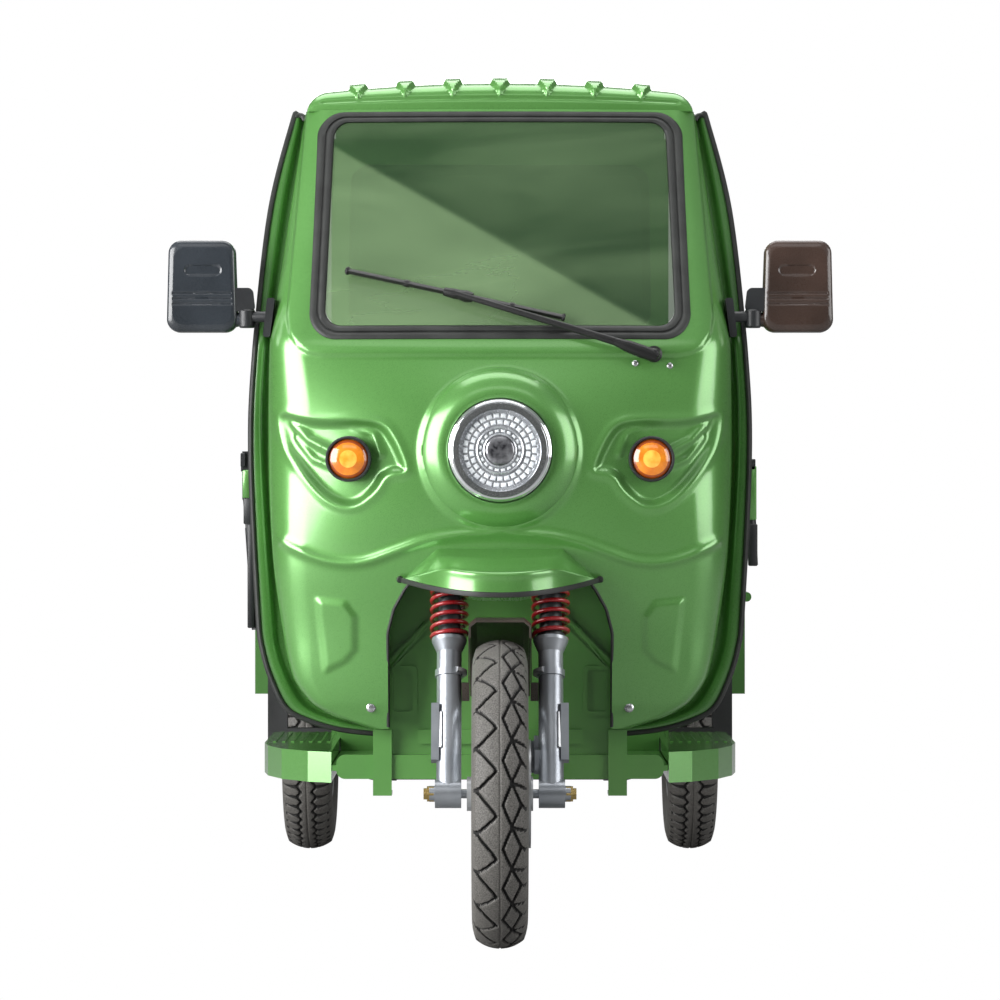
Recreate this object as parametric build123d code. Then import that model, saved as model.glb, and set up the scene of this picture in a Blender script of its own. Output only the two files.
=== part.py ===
# electric cargo tricycle with an open-sided half cab and a drop-side cargo bed
# the object faces -Y, +X is the right side of a front view, +Z is up, millimetres
# a "station" is the distance behind the front wheel's axle, before the final shift
from build123d import *
import math
import os

os.makedirs("parts", exist_ok=True)

# overall layout
FRONT_END = -270.0
REAR_END = 2700.0
SHIFT = -(FRONT_END + REAR_END) / 2
WHEELBASE = 2050.0
RUN_GAP = 0.05
SEAT_GAP = 0.3
MOVE_GAP = 7.0
SKIN = 4.0

# wheels
WHEEL_R = 270.0
FRONT_TYRE_W = 98.0
REAR_TYRE_W = 109.0
REAR_WHEEL_X = 422.0
BEAD_R = 152.0
RIM_IN_R = 140.0
FRONT_AXLE_R = 8.0
REAR_STUB_R = 15.0

# steering, the axis leans back by the rake and runs behind the fork legs
RAKE = math.radians(20.0)
AXIS_BACK = 40.0
LEG_X = 90.0
LOWER_R = 22.0
STANCHION_R = 16.0
CUP_R = 31.0
SPRING_R = 33.5
SPRING_PITCH = 15.0
CUP_AT = 285.0
SPRING_TOP = 377.0
CROWN_T = 18.0
HEAD_LOW = 480.0
HEAD_HIGH = 600.0
HEAD_R = 26.0
STEERER_R = 14.0
BAR_AT = 712.0
BAR_R = 11.0

# cab
FLOOR_TOP = 300.0
FLOOR_T = 10.0
FLOOR_HALF = 306.0
FIREWALL_AT = 300.0
REAR_WALL_AT = 1085.0
REAR_WALL_T = 30.0
REAR_WALL_HALF = 338.0
CAB_TOP = 1505.0
SILL_Z = 1068.0
FLANGE_AT = 330.0
FLANGE_TOP_AT = 506.0
HEADLAMP_Z = 873.0
LAMP_X = 272.0
LAMP_Z = 858.0
LAMP_FRONT = 160.0

# cargo bed
BED_FRONT = 1200.0
BED_HALF = 500.0
BED_LOW = 560.0
BED_TOP = 590.0
GATE_LOW = BED_TOP + MOVE_GAP
GATE_TOP = 890.0
GATE_T = 25.0
HINGE_X = 508.0
HINGE_Z = 580.0
TAIL_HINGE_Y = 2690.0
HINGE_PIN_R = 6.0
HINGE_R = 10.0
HINGE_HALF = 16.0


def block(x0, x1, y0, y1, z0, z1):
    return Pos((x0 + x1) / 2, (y0 + y1) / 2, (z0 + z1) / 2) * Box(abs(x1 - x0), abs(y1 - y0), abs(z1 - z0))


def rod(start, end, radius):
    a = Vector(*start)
    b = Vector(*end)
    return extrude(Plane(origin=a, z_dir=b - a) * Circle(radius), amount=(b - a).length)


def pipe(points, radius):
    shape = rod(points[0], points[1], radius)
    for i in range(1, len(points) - 1):
        shape += rod(points[i], points[i + 1], radius)
        shape += Pos(*points[i]) * Sphere(radius)
    return shape


def arc_chain(points):
    return [ThreePointArc(*points[i:i + 3]) for i in range(0, len(points) - 2, 2)]


def front_prism(edges, near, far):
    face = Plane(origin=(0, far, 0), x_dir=(1, 0, 0), z_dir=(0, -1, 0)) * make_face(edges)
    return extrude(face, amount=far - near)


def front_poly(points, near, far):
    return front_prism(Polyline(*points, close=True), near, far)


def rounded_poly(points, radius, near, far):
    solid = front_poly(points, near, far)
    return fillet([e for e in solid.edges() if abs(e.tangent_at(0).Y) > 0.99], radius)


def side_poly(points, x0, x1):
    face = Plane(origin=(x0, 0, 0), x_dir=(0, 1, 0),
        z_dir=(1, 0, 0)) * make_face(Polyline(*points, close=True))
    return extrude(face, amount=x1 - x0)


def plan_poly(points, z0, z1):
    return extrude(Plane.XY.offset(z0) * make_face(Polyline(*points, close=True)), amount=z1 - z0)


def ring_about_x(outline):
    return revolve(Plane.XY * make_face(Polyline(*outline, close=True)), axis=Axis.X)


def other_side(shape):
    return mirror(shape, about=Plane.YZ)


def both(shape):
    return [shape, other_side(shape)]


def fuse(shapes):
    total = shapes[0]
    for shape in shapes[1:]:
        total = total + shape
    return total


def write(name, shapes):
    solids = []
    for shape in shapes if isinstance(shapes, (list, tuple)) else [shapes]:
        solids.extend(shape.solids())
    moved = [solid.moved(Location((0, SHIFT, 0))) for solid in solids]
    export_step(moved[0] if len(moved) == 1 else Compound(children=moved), "parts/" + name + ".step")


def along_leg(x, t):
    return (x, t * math.sin(RAKE), WHEEL_R + t * math.cos(RAKE))


def along_axis(t, x=0.0, fore=0.0):
    y = (AXIS_BACK - fore) * math.cos(RAKE) + t * math.sin(RAKE)
    z = WHEEL_R - (AXIS_BACK - fore) * math.sin(RAKE) + t * math.cos(RAKE)
    return (x, y, z)


def leg_plane(x, t):
    return Plane(origin=along_leg(x, t), x_dir=(1, 0, 0), z_dir=(0, math.sin(RAKE), math.cos(RAKE)))


def steer_plane(t):
    return Plane(origin=along_axis(t), x_dir=(1, 0, 0), z_dir=(0, math.sin(RAKE), math.cos(RAKE)))


# tyres, a bead flat, a bulged sidewall and a crowned tread
def tyre(width, centre_x, station):
    half = width / 2
    bead = 0.36 * width
    bead_top = BEAD_R + 13
    shoulder = WHEEL_R - 16
    bore = BEAD_R + SEAT_GAP
    right = [
        Line((bead, bore), (bead, bead_top)),
        ThreePointArc((bead, bead_top), (half, 0.52 * (BEAD_R + shoulder)), (0.86 * half, shoulder)),
    ]
    left = [
        ThreePointArc((-0.86 * half, shoulder), (-half, 0.52 * (BEAD_R + shoulder)), (-bead, bead_top)),
        Line((-bead, bead_top), (-bead, bore)),
    ]
    tread = ThreePointArc((0.86 * half, shoulder), (0, WHEEL_R), (-0.86 * half, shoulder))
    section = make_face([Line((-bead, bore), (bead, bore))] + right + [tread] + left)
    return Pos(centre_x, station, WHEEL_R) * revolve(Plane.XY * section, axis=Axis.X)


# pressed steel wheels with a drop-centre barrel, a holed disc and a hub
def wheel(width, hub_half, hub_r, bore_r, disc_x, hole_count, hole_r):
    bead = 0.36 * width
    seat = bead + SEAT_GAP
    lip = bead + 8
    barrel = ring_about_x([
        (-lip, BEAD_R + 9), (-seat, BEAD_R + 9), (-seat, BEAD_R), (-0.4 * bead, BEAD_R),
        (-0.25 * bead, RIM_IN_R - 4),
        (0.25 * bead, RIM_IN_R - 4), (0.4 * bead, BEAD_R), (seat, BEAD_R), (seat, BEAD_R + 9),
        (lip, BEAD_R + 9),
        (lip, BEAD_R - 4), (0.4 * bead + 4, BEAD_R - 4), (0.25 * bead + 3, RIM_IN_R - 8),
        (-0.25 * bead - 3, RIM_IN_R - 8),
        (-0.4 * bead - 4, BEAD_R - 4), (-lip, BEAD_R - 4),
    ])
    disc = ring_about_x([
        (disc_x - 3, bore_r), (disc_x + 3, bore_r), (disc_x + 3, 70), (3, 100), (3, RIM_IN_R - 6),
        (-3, RIM_IN_R - 6), (-3, 97), (disc_x - 3, 67),
    ])
    hub = ring_about_x([(-hub_half, bore_r), (hub_half, bore_r), (hub_half, hub_r), (-hub_half, hub_r)])
    shape = barrel + disc + hub
    for i in range(hole_count):
        angle = 2 * math.pi * i / hole_count
        y = 113 * math.cos(angle)
        z = 113 * math.sin(angle)
        shape -= rod((-30, y, z), (30, y, z), hole_r)
    return shape


front_wheel = wheel(FRONT_TYRE_W, 58, 30, FRONT_AXLE_R + RUN_GAP, 10, 8, 10)
front_wheel += ring_about_x([(50, 28), (54, 28), (54, 95), (50, 95)])
rear_wheel = wheel(REAR_TYRE_W, 46, 38, REAR_STUB_R + RUN_GAP, 14, 8, 12)
rear_wheel += ring_about_x([(-44, 30), (-12, 30), (-12, 90), (-44, 90), (-44, 84), (-18, 84), (-18, 36),
    (-44, 36)])
for i in range(5):
    angle = 2 * math.pi * i / 5
    y = 54 * math.cos(angle)
    z = 54 * math.sin(angle)
    rear_wheel += rod((14, y, z), (30, y, z), 8)
right_wheel = Pos(REAR_WHEEL_X, WHEELBASE, WHEEL_R) * rear_wheel
write("front_tyre", tyre(FRONT_TYRE_W, 0, 0))
write("front_wheel", Pos(0, 0, WHEEL_R) * front_wheel)
write("left_tyre", tyre(REAR_TYRE_W, -REAR_WHEEL_X, WHEELBASE))
write("right_tyre", tyre(REAR_TYRE_W, REAR_WHEEL_X, WHEELBASE))
write("left_wheel", other_side(right_wheel))
write("right_wheel", right_wheel)

# fork lowers with spring cups, clamp bands, axle lugs, axle and a brake caliper
lower_parts = [rod((-LEG_X - 40, 0, WHEEL_R), (LEG_X + 40, 0, WHEEL_R), FRONT_AXLE_R)]
for side in (-1, 1):
    x = side * LEG_X
    leg = rod(along_leg(x, -6), along_leg(x, CUP_AT - 26), LOWER_R)
    leg += loft([leg_plane(x, CUP_AT - 26) * Circle(LOWER_R), leg_plane(x, CUP_AT - 6) * Circle(CUP_R)])
    leg += rod(along_leg(x, CUP_AT - 6), along_leg(x, CUP_AT), CUP_R)
    leg += rod(along_leg(x, 214), along_leg(x, 226), LOWER_R + 3)
    leg += rod((x - side * 22, 0, WHEEL_R), (x + side * 24, 0, WHEEL_R), 25)
    leg += rod((x + side * 24, 0, WHEEL_R), (x + side * 34, 0, WHEEL_R), 14)
    plate = side_poly([(2, 330), (30, 322), (58, 420), (34, 428)], -7, 7)
    leg += Pos(x + side * (LOWER_R + 2), 0, 0) * plate
    leg -= rod(along_leg(x, 110), along_leg(x, CUP_AT + 20), STANCHION_R + RUN_GAP)
    lower_parts.append(leg)
caliper = side_poly([(62, 300), (106, 300), (112, 352), (70, 368)], 36, 69)
caliper -= block(44, 60, 40, 98, 280, 380)
lower_parts.append(caliper)
lower_parts.append(block(61, 72, 14, 72, 310, 346))
write("fork_lowers", fuse(lower_parts))

# fork crown, stanchions and steerer
crown_outline = [
    (-LEG_X - 10, -AXIS_BACK - 24), (LEG_X + 10, -AXIS_BACK - 24), (LEG_X + 24, -AXIS_BACK - 10),
    (LEG_X + 24, -AXIS_BACK + 10), (LEG_X + 8, -AXIS_BACK + 24), (32, 26), (-32, 26),
    (-LEG_X - 8, -AXIS_BACK + 24), (-LEG_X - 24, -AXIS_BACK + 10), (-LEG_X - 24, -AXIS_BACK - 10),
]
yoke = extrude(steer_plane(SPRING_TOP + 1) * make_face(Polyline(*crown_outline, close=True)),
    amount=CROWN_T)
for side in (-1, 1):
    x = side * LEG_X
    yoke += rod(along_leg(x, 125), along_leg(x, SPRING_TOP + 4), STANCHION_R)
yoke += rod(along_axis(SPRING_TOP + 4), along_axis(BAR_AT - 12), STEERER_R)
yoke += rod(along_axis(HEAD_LOW - 12), along_axis(HEAD_LOW - 2), HEAD_R)
yoke += rod(along_axis(HEAD_HIGH + 2), along_axis(HEAD_HIGH + 16), HEAD_R)
write("fork_yoke", yoke)

# coil springs as ridged sleeves round the stanchions
springs = []
coil_count = round((SPRING_TOP - CUP_AT) / SPRING_PITCH)
coil_step = (SPRING_TOP - CUP_AT - 2 * SEAT_GAP) / coil_count
for side in (-1, 1):
    profile = [(STANCHION_R + SEAT_GAP, SEAT_GAP), (SPRING_R - 8, SEAT_GAP)]
    for i in range(coil_count):
        low = SEAT_GAP + i * coil_step
        profile += [(SPRING_R - 8, low + 0.2 * coil_step), (SPRING_R, low + 0.38 * coil_step)]
        profile += [(SPRING_R, low + 0.62 * coil_step), (SPRING_R - 8, low + 0.8 * coil_step)]
    top = SEAT_GAP + coil_count * coil_step
    profile += [(SPRING_R - 8, top), (STANCHION_R + SEAT_GAP, top)]
    coil = revolve(Plane.XZ * make_face(Polyline(*profile, close=True)), axis=Axis.Z)
    springs.append(leg_plane(side * LEG_X, CUP_AT).location * coil)
write("fork_springs", springs)

# handlebar with grips, lever blades and a small meter pod
BAR_BENDS = ((-300, -200, 60), (-190, -160, 60), (-70, 0, 0), (70, 0, 0), (190, -160, 60), (300, -200, 60))
bar = [rod(along_axis(BAR_AT - 11.7), along_axis(BAR_AT + 14), 24)]
bar.append(pipe([along_axis(BAR_AT + rise, x, fore) for x, fore, rise in BAR_BENDS], BAR_R))
for side in (-1, 1):
    bar.append(rod(along_axis(BAR_AT + 60, side * 215, -169), along_axis(BAR_AT + 60, side * 300, -200),
        16))
    bar.append(rod(along_axis(BAR_AT + 60, side * 205, -140), along_axis(BAR_AT + 60, side * 292, -158), 6))
    bar.append(rod(along_axis(BAR_AT + 60, side * 200, -140), along_axis(BAR_AT + 60, side * 205, -170), 9))
pod = extrude(steer_plane(BAR_AT + 13) * RectangleRounded(150, 84, 18), amount=34)
bar.append(pod)
write("handlebar", fuse(bar))

# front mudguard, a channel-shaped arc over the tyre held by two straps on the lowers
GUARD_R = WHEEL_R + 39
GUARD_HALF = 54.0
GUARD_LIP_R = WHEEL_R + 8
guard_outline = [
    (-GUARD_HALF, GUARD_LIP_R), (-GUARD_HALF, GUARD_R - 10), (-GUARD_HALF + 12, GUARD_R),
    (GUARD_HALF - 12, GUARD_R), (GUARD_HALF, GUARD_R - 10), (GUARD_HALF, GUARD_LIP_R),
    (GUARD_HALF - 3, GUARD_LIP_R), (GUARD_HALF - 3, GUARD_R - 11), (GUARD_HALF - 13, GUARD_R - 3),
    (-GUARD_HALF + 13, GUARD_R - 3), (-GUARD_HALF + 3, GUARD_R - 11), (-GUARD_HALF + 3, GUARD_LIP_R),
]
guard_face = Plane.XY * make_face(Polyline(*guard_outline, close=True))
guard = Pos(0, 0, WHEEL_R) * Rot(35, 0, 0) * revolve(guard_face, axis=Axis.X, revolution_arc=64)
for side in (-1, 1):
    edge = side * GUARD_HALF
    guard += block(edge, edge + side * 2, 50, 98, 430, 560)
    guard += block(edge + side * 2, side * (LEG_X - LOWER_R - SEAT_GAP), 50, 76, 430, 462)
write("front_mudguard", guard)

# frame: ladder under the cab, step up to the bed, head tube on a bent down tube
RAIL_SIDE = [(340, 272), (600, 252), (760, 240), (1190, 230), (1190, 290), (340, 290)]
frame_parts = []
for side in (-1, 1):
    frame_parts.append(side_poly(RAIL_SIDE, side * 220 - 20, side * 220 + 20))
    frame_parts.append(block(side * 200, side * 240, 1150, 1190, 230, BED_LOW))
    frame_parts.append(block(side * 200, side * 240, 1150, 2640, 500, BED_LOW))
    for station in (1750, 2350):
        frame_parts.append(block(side * 194, side * 248, station - 22, station + 22, 466, 500))
    for station in (640, 860):
        frame_parts.append(block(side * 240, side * 308, station, station + 30, 268, 290))
    frame_parts.append(block(side * 240, side * 470, 1160, 1190, 288, 318))
    frame_parts.append(block(side * 430, side * 470, 1160, 1190, 288, BED_LOW))
CROSS_MEMBERS = ((340, 273, 290), (760, 242, 290), (1150, 230, 290), (1150, 500, BED_LOW),
    (1500, 500, BED_LOW),
                 (2600, 500, BED_LOW))
for station, low, high in CROSS_MEMBERS:
    frame_parts.append(block(-240, 240, station, station + 40, low, high))
frame_parts.append(rod(along_axis(HEAD_LOW), along_axis(HEAD_HIGH), HEAD_R))
frame_parts.append(pipe([along_axis(545), (0, 372, 746), (0, 398, 620), (0, 366, 280)], 24))
for side in (-1, 1):
    frame_parts.append(pipe([(side * 18, 398, 600), (side * 150, 392, 420), (side * 215, 366, 285)], 13))
frame = fuse(frame_parts)
frame -= rod(along_axis(HEAD_LOW - 20), along_axis(HEAD_HIGH + 20), STEERER_R + RUN_GAP)
write("frame", frame)

# cab floor, its front apron on bent straps, and the panel with pressed pockets behind the front wheel
floor = block(-FLOOR_HALF, FLOOR_HALF, FIREWALL_AT, REAR_WALL_AT + REAR_WALL_T, FLOOR_TOP - FLOOR_T,
    FLOOR_TOP)
floor += rounded_poly([(-298, 276), (298, 276), (298, 320), (-298, 320)], 16, FIREWALL_AT - 12, FIREWALL_AT)
FIREWALL_SIDE = ((230, FLOOR_TOP - 2), (230, 386), (285, 400), (330, 432), (360, 482), (382, 560),
    (396, 700))
firewall_outline = list(FIREWALL_SIDE) + [(-x, z) for x, z in reversed(FIREWALL_SIDE)]
floor += front_poly(firewall_outline, FIREWALL_AT, FIREWALL_AT + SKIN)
for side in (-1, 1):
    floor += rounded_poly([(side * 151, 391), (side * 202, 391), (side * 202, 482), (side * 151, 482)], 8,
                          FIREWALL_AT - 8, FIREWALL_AT + 1)
    floor -= rounded_poly([(side * 159, 399), (side * 194, 399), (side * 194, 474), (side * 159, 474)], 6,
                          FIREWALL_AT - 10, FIREWALL_AT - 3)
    floor += rod((side * 133, FIREWALL_AT - 2, 558), (side * 200, FIREWALL_AT - 2, 476), 8)
    floor += block(side * 197, side * 231, 281, FIREWALL_AT - 11, 252, 366)
    floor += block(side * 197, side * 231, 281, 340 - SEAT_GAP, 246, 252)
floor += block(-150, 150, FIREWALL_AT - 10, FIREWALL_AT, 340, 366)
floor -= block(-28, 28, 330, 424, 280, 310)
for side in (-1, 1):
    floor -= block(side * 188, side * 240, 330, 404, 280, 310)
write("cab_floor", floor)

# running boards, ribbed trays on outriggers
STEP_PLAN = ((308, 306), (352, 334), (404, 410), (434, 500), (445, 590), (445, 931), (308, 931))
STEP_HOLLOW = ((312, 313), (349, 338), (400, 413), (430, 501), (441, 590), (441, 927), (312, 927))
step = plan_poly(STEP_PLAN, 268, 324) - plan_poly(STEP_HOLLOW, 250, 320)
for i in range(7):
    x = 322 + i * 17
    step += block(x, x + 6, 600, 916, 324, 326)
write("step_boards", both(step))

# front cowl, plan sections from the bottom up: height, nose station, half width, nose radius, corner radius
COWL_ROWS = (
    (370, 228, 238, 1700, 30),
    (392, 219, 305, 1600, 35),
    (420, 207, 348, 1500, 45),
    (465, 197, 378, 1400, 55),
    (540, 186, 396, 1300, 75),
    (700, 160, 416, 1200, 95),
    (880, 148, 424, 1000, 120),
    (SILL_Z, 188, 420, 2200, 80),
    (CAB_TOP, 423, 364, 2610, 55),
)


def cowl_row(z):
    for low, high in zip(COWL_ROWS, COWL_ROWS[1:]):
        if z <= high[0]:
            part = (z - low[0]) / (high[0] - low[0])
            return [a + part * (b - a) for a, b in zip(low, high)]
    return list(COWL_ROWS[-1])


def flange_station(z):
    part = max(0.0, (z - SILL_Z) / (CAB_TOP - SILL_Z))
    return FLANGE_AT + part * (FLANGE_TOP_AT - FLANGE_AT)


def plan_points(nose, half, nose_r, corner_r):
    gap = nose_r - corner_r
    corner_x = half - corner_r
    centre = nose_r - math.sqrt(gap ** 2 - corner_x ** 2)
    ux = corner_x / gap
    ud = (centre - nose_r) / gap
    angle = math.atan2(ud, ux) / 2
    touch = (nose_r * ux, nose + nose_r + nose_r * ud)
    middle = (corner_x + corner_r * math.cos(angle), nose + centre + corner_r * math.sin(angle))
    return touch, middle, (half, nose + centre)


# one U-shaped plan section between two depths under the outer surface
def u_section(row, shallow, deep):
    z, nose, half, nose_r, corner_r = row
    back = flange_station(z)
    outer = plan_points(nose + shallow, half - shallow, nose_r - shallow, max(corner_r - shallow, 6))
    inner = plan_points(nose + deep, half - deep, nose_r - deep, max(corner_r - deep, 6))

    def left(p):
        return (-p[0], p[1])

    edges = []
    for (touch, middle, side), depth in ((outer, shallow), (inner, deep)):
        edges.append(ThreePointArc(left(touch), (0, nose + depth), touch))
        edges.append(ThreePointArc(touch, middle, side))
        edges.append(ThreePointArc(left(touch), left(middle), left(side)))
        edges.append(Line(side, (half - depth, back)))
        edges.append(Line(left(side), (depth - half, back)))
    edges.append(Line((half - shallow, back), (half - deep, back)))
    edges.append(Line((shallow - half, back), (deep - half, back)))
    return Plane.XY.offset(z) * make_face(Wire(edges))


def cowl_layer(shallow, deep):
    return loft([u_section(row, shallow, deep) for row in COWL_ROWS], ruled=True)


OPEN_LOW = 1086.0
OPEN_TOP = 1496.0
ARCH = ((202, 330), (202, 545), (191, 588), (172, 622), (150, 650), (112, 664))
EYE = ((398, 945), (362, 934), (320, 928), (262, 930), (210, 925), (186, 892), (167, 846), (168, 833),
    (203, 831),
       (222, 797), (265, 767), (312, 783), (348, 821), (378, 862), (389, 880), (400, 918))
CHEEK = ((329, 604), (279, 599), (261, 574), (261, 514), (279, 493), (315, 475))


def grown(points, amount):
    cx = sum(x for x, z in points) / len(points)
    cz = sum(z for x, z in points) / len(points)
    moved = []
    for x, z in points:
        size = math.hypot(x - cx, z - cz)
        moved.append((x + amount * (x - cx) / size, z + amount * (z - cz) / size))
    return moved


def both_prisms(points, near, far):
    prism = front_poly(points, near, far)
    return prism + other_side(prism)


cowl = cowl_layer(0, SKIN)
cowl -= rounded_poly([(-331, OPEN_LOW), (331, OPEN_LOW), (321, OPEN_TOP), (-321, OPEN_TOP)], 40, 100, 600)
arch = list(ARCH) + [(-x, z) for x, z in reversed(ARCH)]
cowl -= rounded_poly(arch, 20, 100, FLANGE_AT + 1)
EYE_DEPTH = 10.0
cowl -= both_prisms(EYE, 100, FLANGE_AT)
cowl += cowl_layer(0, EYE_DEPTH + SKIN) & both_prisms(EYE, 100, FLANGE_AT)
cowl -= cowl_layer(-5, EYE_DEPTH) & both_prisms(grown(EYE, -SKIN), 100, FLANGE_AT)
cowl += cowl_layer(-3, 2) & both_prisms(CHEEK, 100, FLANGE_AT)

NOSE_AT_BROW = 160.0
NOSE_AT_LAMPS = 148.0
NOSE_AT_SILL = 188.0
DOME_R = 140.0
DOME_TOP_R = 114.0
LAMP_BORE_R = 92.0
LAMP_SHELL_R = 41.0


def lamp_rod(x, z, near, far, radius):
    return rod((x, near, z), (x, far, z), radius)


def lamp_plane(station):
    return Plane(origin=(0, station, HEADLAMP_Z), x_dir=(1, 0, 0), z_dir=(0, -1, 0))


dome = loft([lamp_plane(NOSE_AT_LAMPS + 28) * Circle(DOME_R),
    lamp_plane(NOSE_AT_LAMPS - 8) * Circle(DOME_TOP_R + 10)])
dome += loft([lamp_plane(NOSE_AT_LAMPS - 8) * Circle(DOME_TOP_R + 10),
    lamp_plane(NOSE_AT_LAMPS - 16) * Circle(DOME_TOP_R)])
dome -= lamp_rod(0, HEADLAMP_Z, NOSE_AT_LAMPS + 5, 240, DOME_R + 10)
cowl += dome
cowl -= lamp_rod(0, HEADLAMP_Z, 80, 260, LAMP_BORE_R)
for side in (-1, 1):
    cowl += lamp_rod(side * LAMP_X, LAMP_Z, LAMP_FRONT + 30, LAMP_FRONT + 56, LAMP_SHELL_R + 6)
    cowl -= lamp_rod(side * LAMP_X, LAMP_Z, 80, 300, LAMP_SHELL_R + SEAT_GAP)
write("front_cowl", cowl)

# brow over the front wheel: lens-shaped from the front, hooded from the side
BROW_HALF = 178.0


def brow_outline(drop, low):
    ends = BROW_HALF - drop
    top = ThreePointArc((-ends, 641 - drop), (0, 706 - drop), (ends, 641 - drop))
    if low:
        return [top, Line((ends, 641 - drop), (ends, 560)), Line((ends, 560), (-ends, 560)),
            Line((-ends, 560), (-ends, 641 - drop))]
    return [top, ThreePointArc((ends, 641), (0, 614), (-ends, 641))]


BROW_FRONT_R = 200.0


def brow_plan(drop):
    radius = BROW_FRONT_R - drop
    return Pos(0, BROW_FRONT_R - 6, 650) * Cylinder(radius, 200) + block(-radius, radius,
        BROW_FRONT_R - 6, 240, 550, 750)


brow = front_prism(brow_outline(0, False), -20, 200) & brow_plan(0)
brow &= side_poly([(-6, 600), (-6, 655), (58, 682), (157, 706), (190, 706), (190, 600)], -200, 200)
hollow = front_prism(brow_outline(SKIN, True), -30, 220)
hollow &= side_poly([(-10, 540), (-10, 652), (59, 678), (157, 702), (210, 702), (210, 540)], -210, 210)
hollow &= brow_plan(SKIN)
brow -= hollow
brow -= Pos(0, NOSE_AT_BROW - 3 * SEAT_GAP + 1200, 660) * Cylinder(1200, 200)
write("brow", brow)

# flange round the cowl and its rubber edge, contours of the right side from the top down
FLANGE = ((388, CAB_TOP), (425, 1320), (447, 1075), (456, 880), (443, 585), (434, 509), (415, 449),
    (390, 403),
          (350, 381), (290, 364), (209, 355))
COWL_EDGE = ((352, CAB_TOP), (376, 1320), (407, 1075), (412, 880), (386, 560), (371, 480), (348, 440),
    (326, 418),
             (297, 400), (256, 388), (209, 382))


def contour(points, grow):
    moved = []
    last = len(points) - 1
    for i, (x, z) in enumerate(points):
        before = points[max(i - 1, 0)]
        after = points[min(i + 1, last)]
        dx = after[0] - before[0]
        dz = after[1] - before[1]
        size = math.hypot(dx, dz)
        normal = (1, 0) if i == 0 else (0, -1) if i == last else (-dz / size, dx / size)
        moved.append((x + grow * normal[0], z + grow * normal[1]))
    return moved


def band(inner, outer):
    edges = arc_chain(inner) + [Line(inner[-1], outer[-1])] + arc_chain(outer[::-1]) + [Line(outer[0],
        inner[0])]
    return front_prism(edges, 100, 700)


def flange_strip(front, rear):
    return side_poly([
        (FLANGE_AT + front, 300), (FLANGE_AT + front, SILL_Z), (FLANGE_TOP_AT + front, CAB_TOP),
        (FLANGE_TOP_AT + rear, CAB_TOP), (FLANGE_AT + rear, SILL_Z), (FLANGE_AT + rear, 300),
    ], -700, 700)


write("cowl_flange", both(band(list(COWL_EDGE), list(FLANGE)) & flange_strip(0, 6)))
write("cowl_trim", both(band(contour(FLANGE, SEAT_GAP), contour(FLANGE, 8)) & flange_strip(-5, 11)))

# windscreen and its rubber frame, cut from layers that follow the cowl's upper face
def screen_layer(near, far):
    faces = []
    for z, nose, half, nose_r, corner_r in COWL_ROWS[-2:]:
        reach = 352.0

        def at(depth, x):
            radius = nose_r - depth
            return (x, nose + depth + radius - math.sqrt(radius ** 2 - x ** 2))

        faces.append(Plane.XY.offset(z) * make_face([
            ThreePointArc(at(near, -reach), at(near, 0), at(near, reach)),
            Line(at(near, reach), at(far, reach)),
            ThreePointArc(at(far, reach), at(far, 0), at(far, -reach)),
            Line(at(far, -reach), at(near, -reach)),
        ]))
    return loft(faces, ruled=True)


hole_fill = [(-330.7, OPEN_LOW + SEAT_GAP), (330.7, OPEN_LOW + SEAT_GAP), (320.7, OPEN_TOP - SEAT_GAP),
    (-320.7, OPEN_TOP - SEAT_GAP)]
gasket_lip = rounded_poly([(-348, 1072), (348, 1072), (337, 1504), (-337, 1504)], 46, 100, 600)
gasket_plug = rounded_poly(hole_fill, 40, 90, 610)
gasket_eye = rounded_poly([(-317, 1099), (317, 1099), (306, 1482), (-306, 1482)], 30, 80, 620)
gasket = (screen_layer(-9, -SEAT_GAP) & gasket_lip) - gasket_eye
gasket += (screen_layer(-9, SKIN + SEAT_GAP) & gasket_plug) - gasket_eye
write("windscreen_gasket", gasket)
glass_outline = rounded_poly([(-316.7, 1099.3), (316.7, 1099.3), (305.7, 1481.7), (-305.7, 1481.7)], 30,
    90, 610)
write("windscreen", screen_layer(-4, 1) & glass_outline)

# roof, a crowned shell with a sloped front and seven pressed ribs
RIB_PITCH = 87.6
RIB_HALF = 17.5
RIB_RISE = 8.0
ROOF_NOSE = 421.0
ROOF_BACK = 1122.0


def roof_body(drop, back):
    edge = 358 - drop
    low = CAB_TOP - (20 if drop > 0 else 0)
    points = [(-edge, CAB_TOP), (-346 + 0.8 * drop, 1526 - 0.6 * drop), (-314 + 0.3 * drop, 1541 - drop)]
    right = [(-x, z) for x, z in points]
    edges = [ThreePointArc(*points), ThreePointArc(points[2], (0, 1562 - drop), right[2]),
        ThreePointArc(*right[::-1])]
    if drop > 0:
        edges += [Line(right[0], (edge, low)), Line((edge, low), (-edge, low)),
            Line((-edge, low), points[0])]
    else:
        edges.append(Line(right[0], points[0]))
    nose = ROOF_NOSE + max(drop, 0)
    slope = side_poly([
        (nose, low - 1), (nose, 1530 - drop), (438 + 0.5 * drop, 1546 - drop), (488, 1564 - drop),
        (back, 1566 - drop),
        (back, low - 1),
    ], -400, 400)
    plan = Pos(0, nose + 2600, 1500) * Cylinder(2600, 300)
    return front_prism(edges, nose - 20, back) & slope & plan


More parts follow.
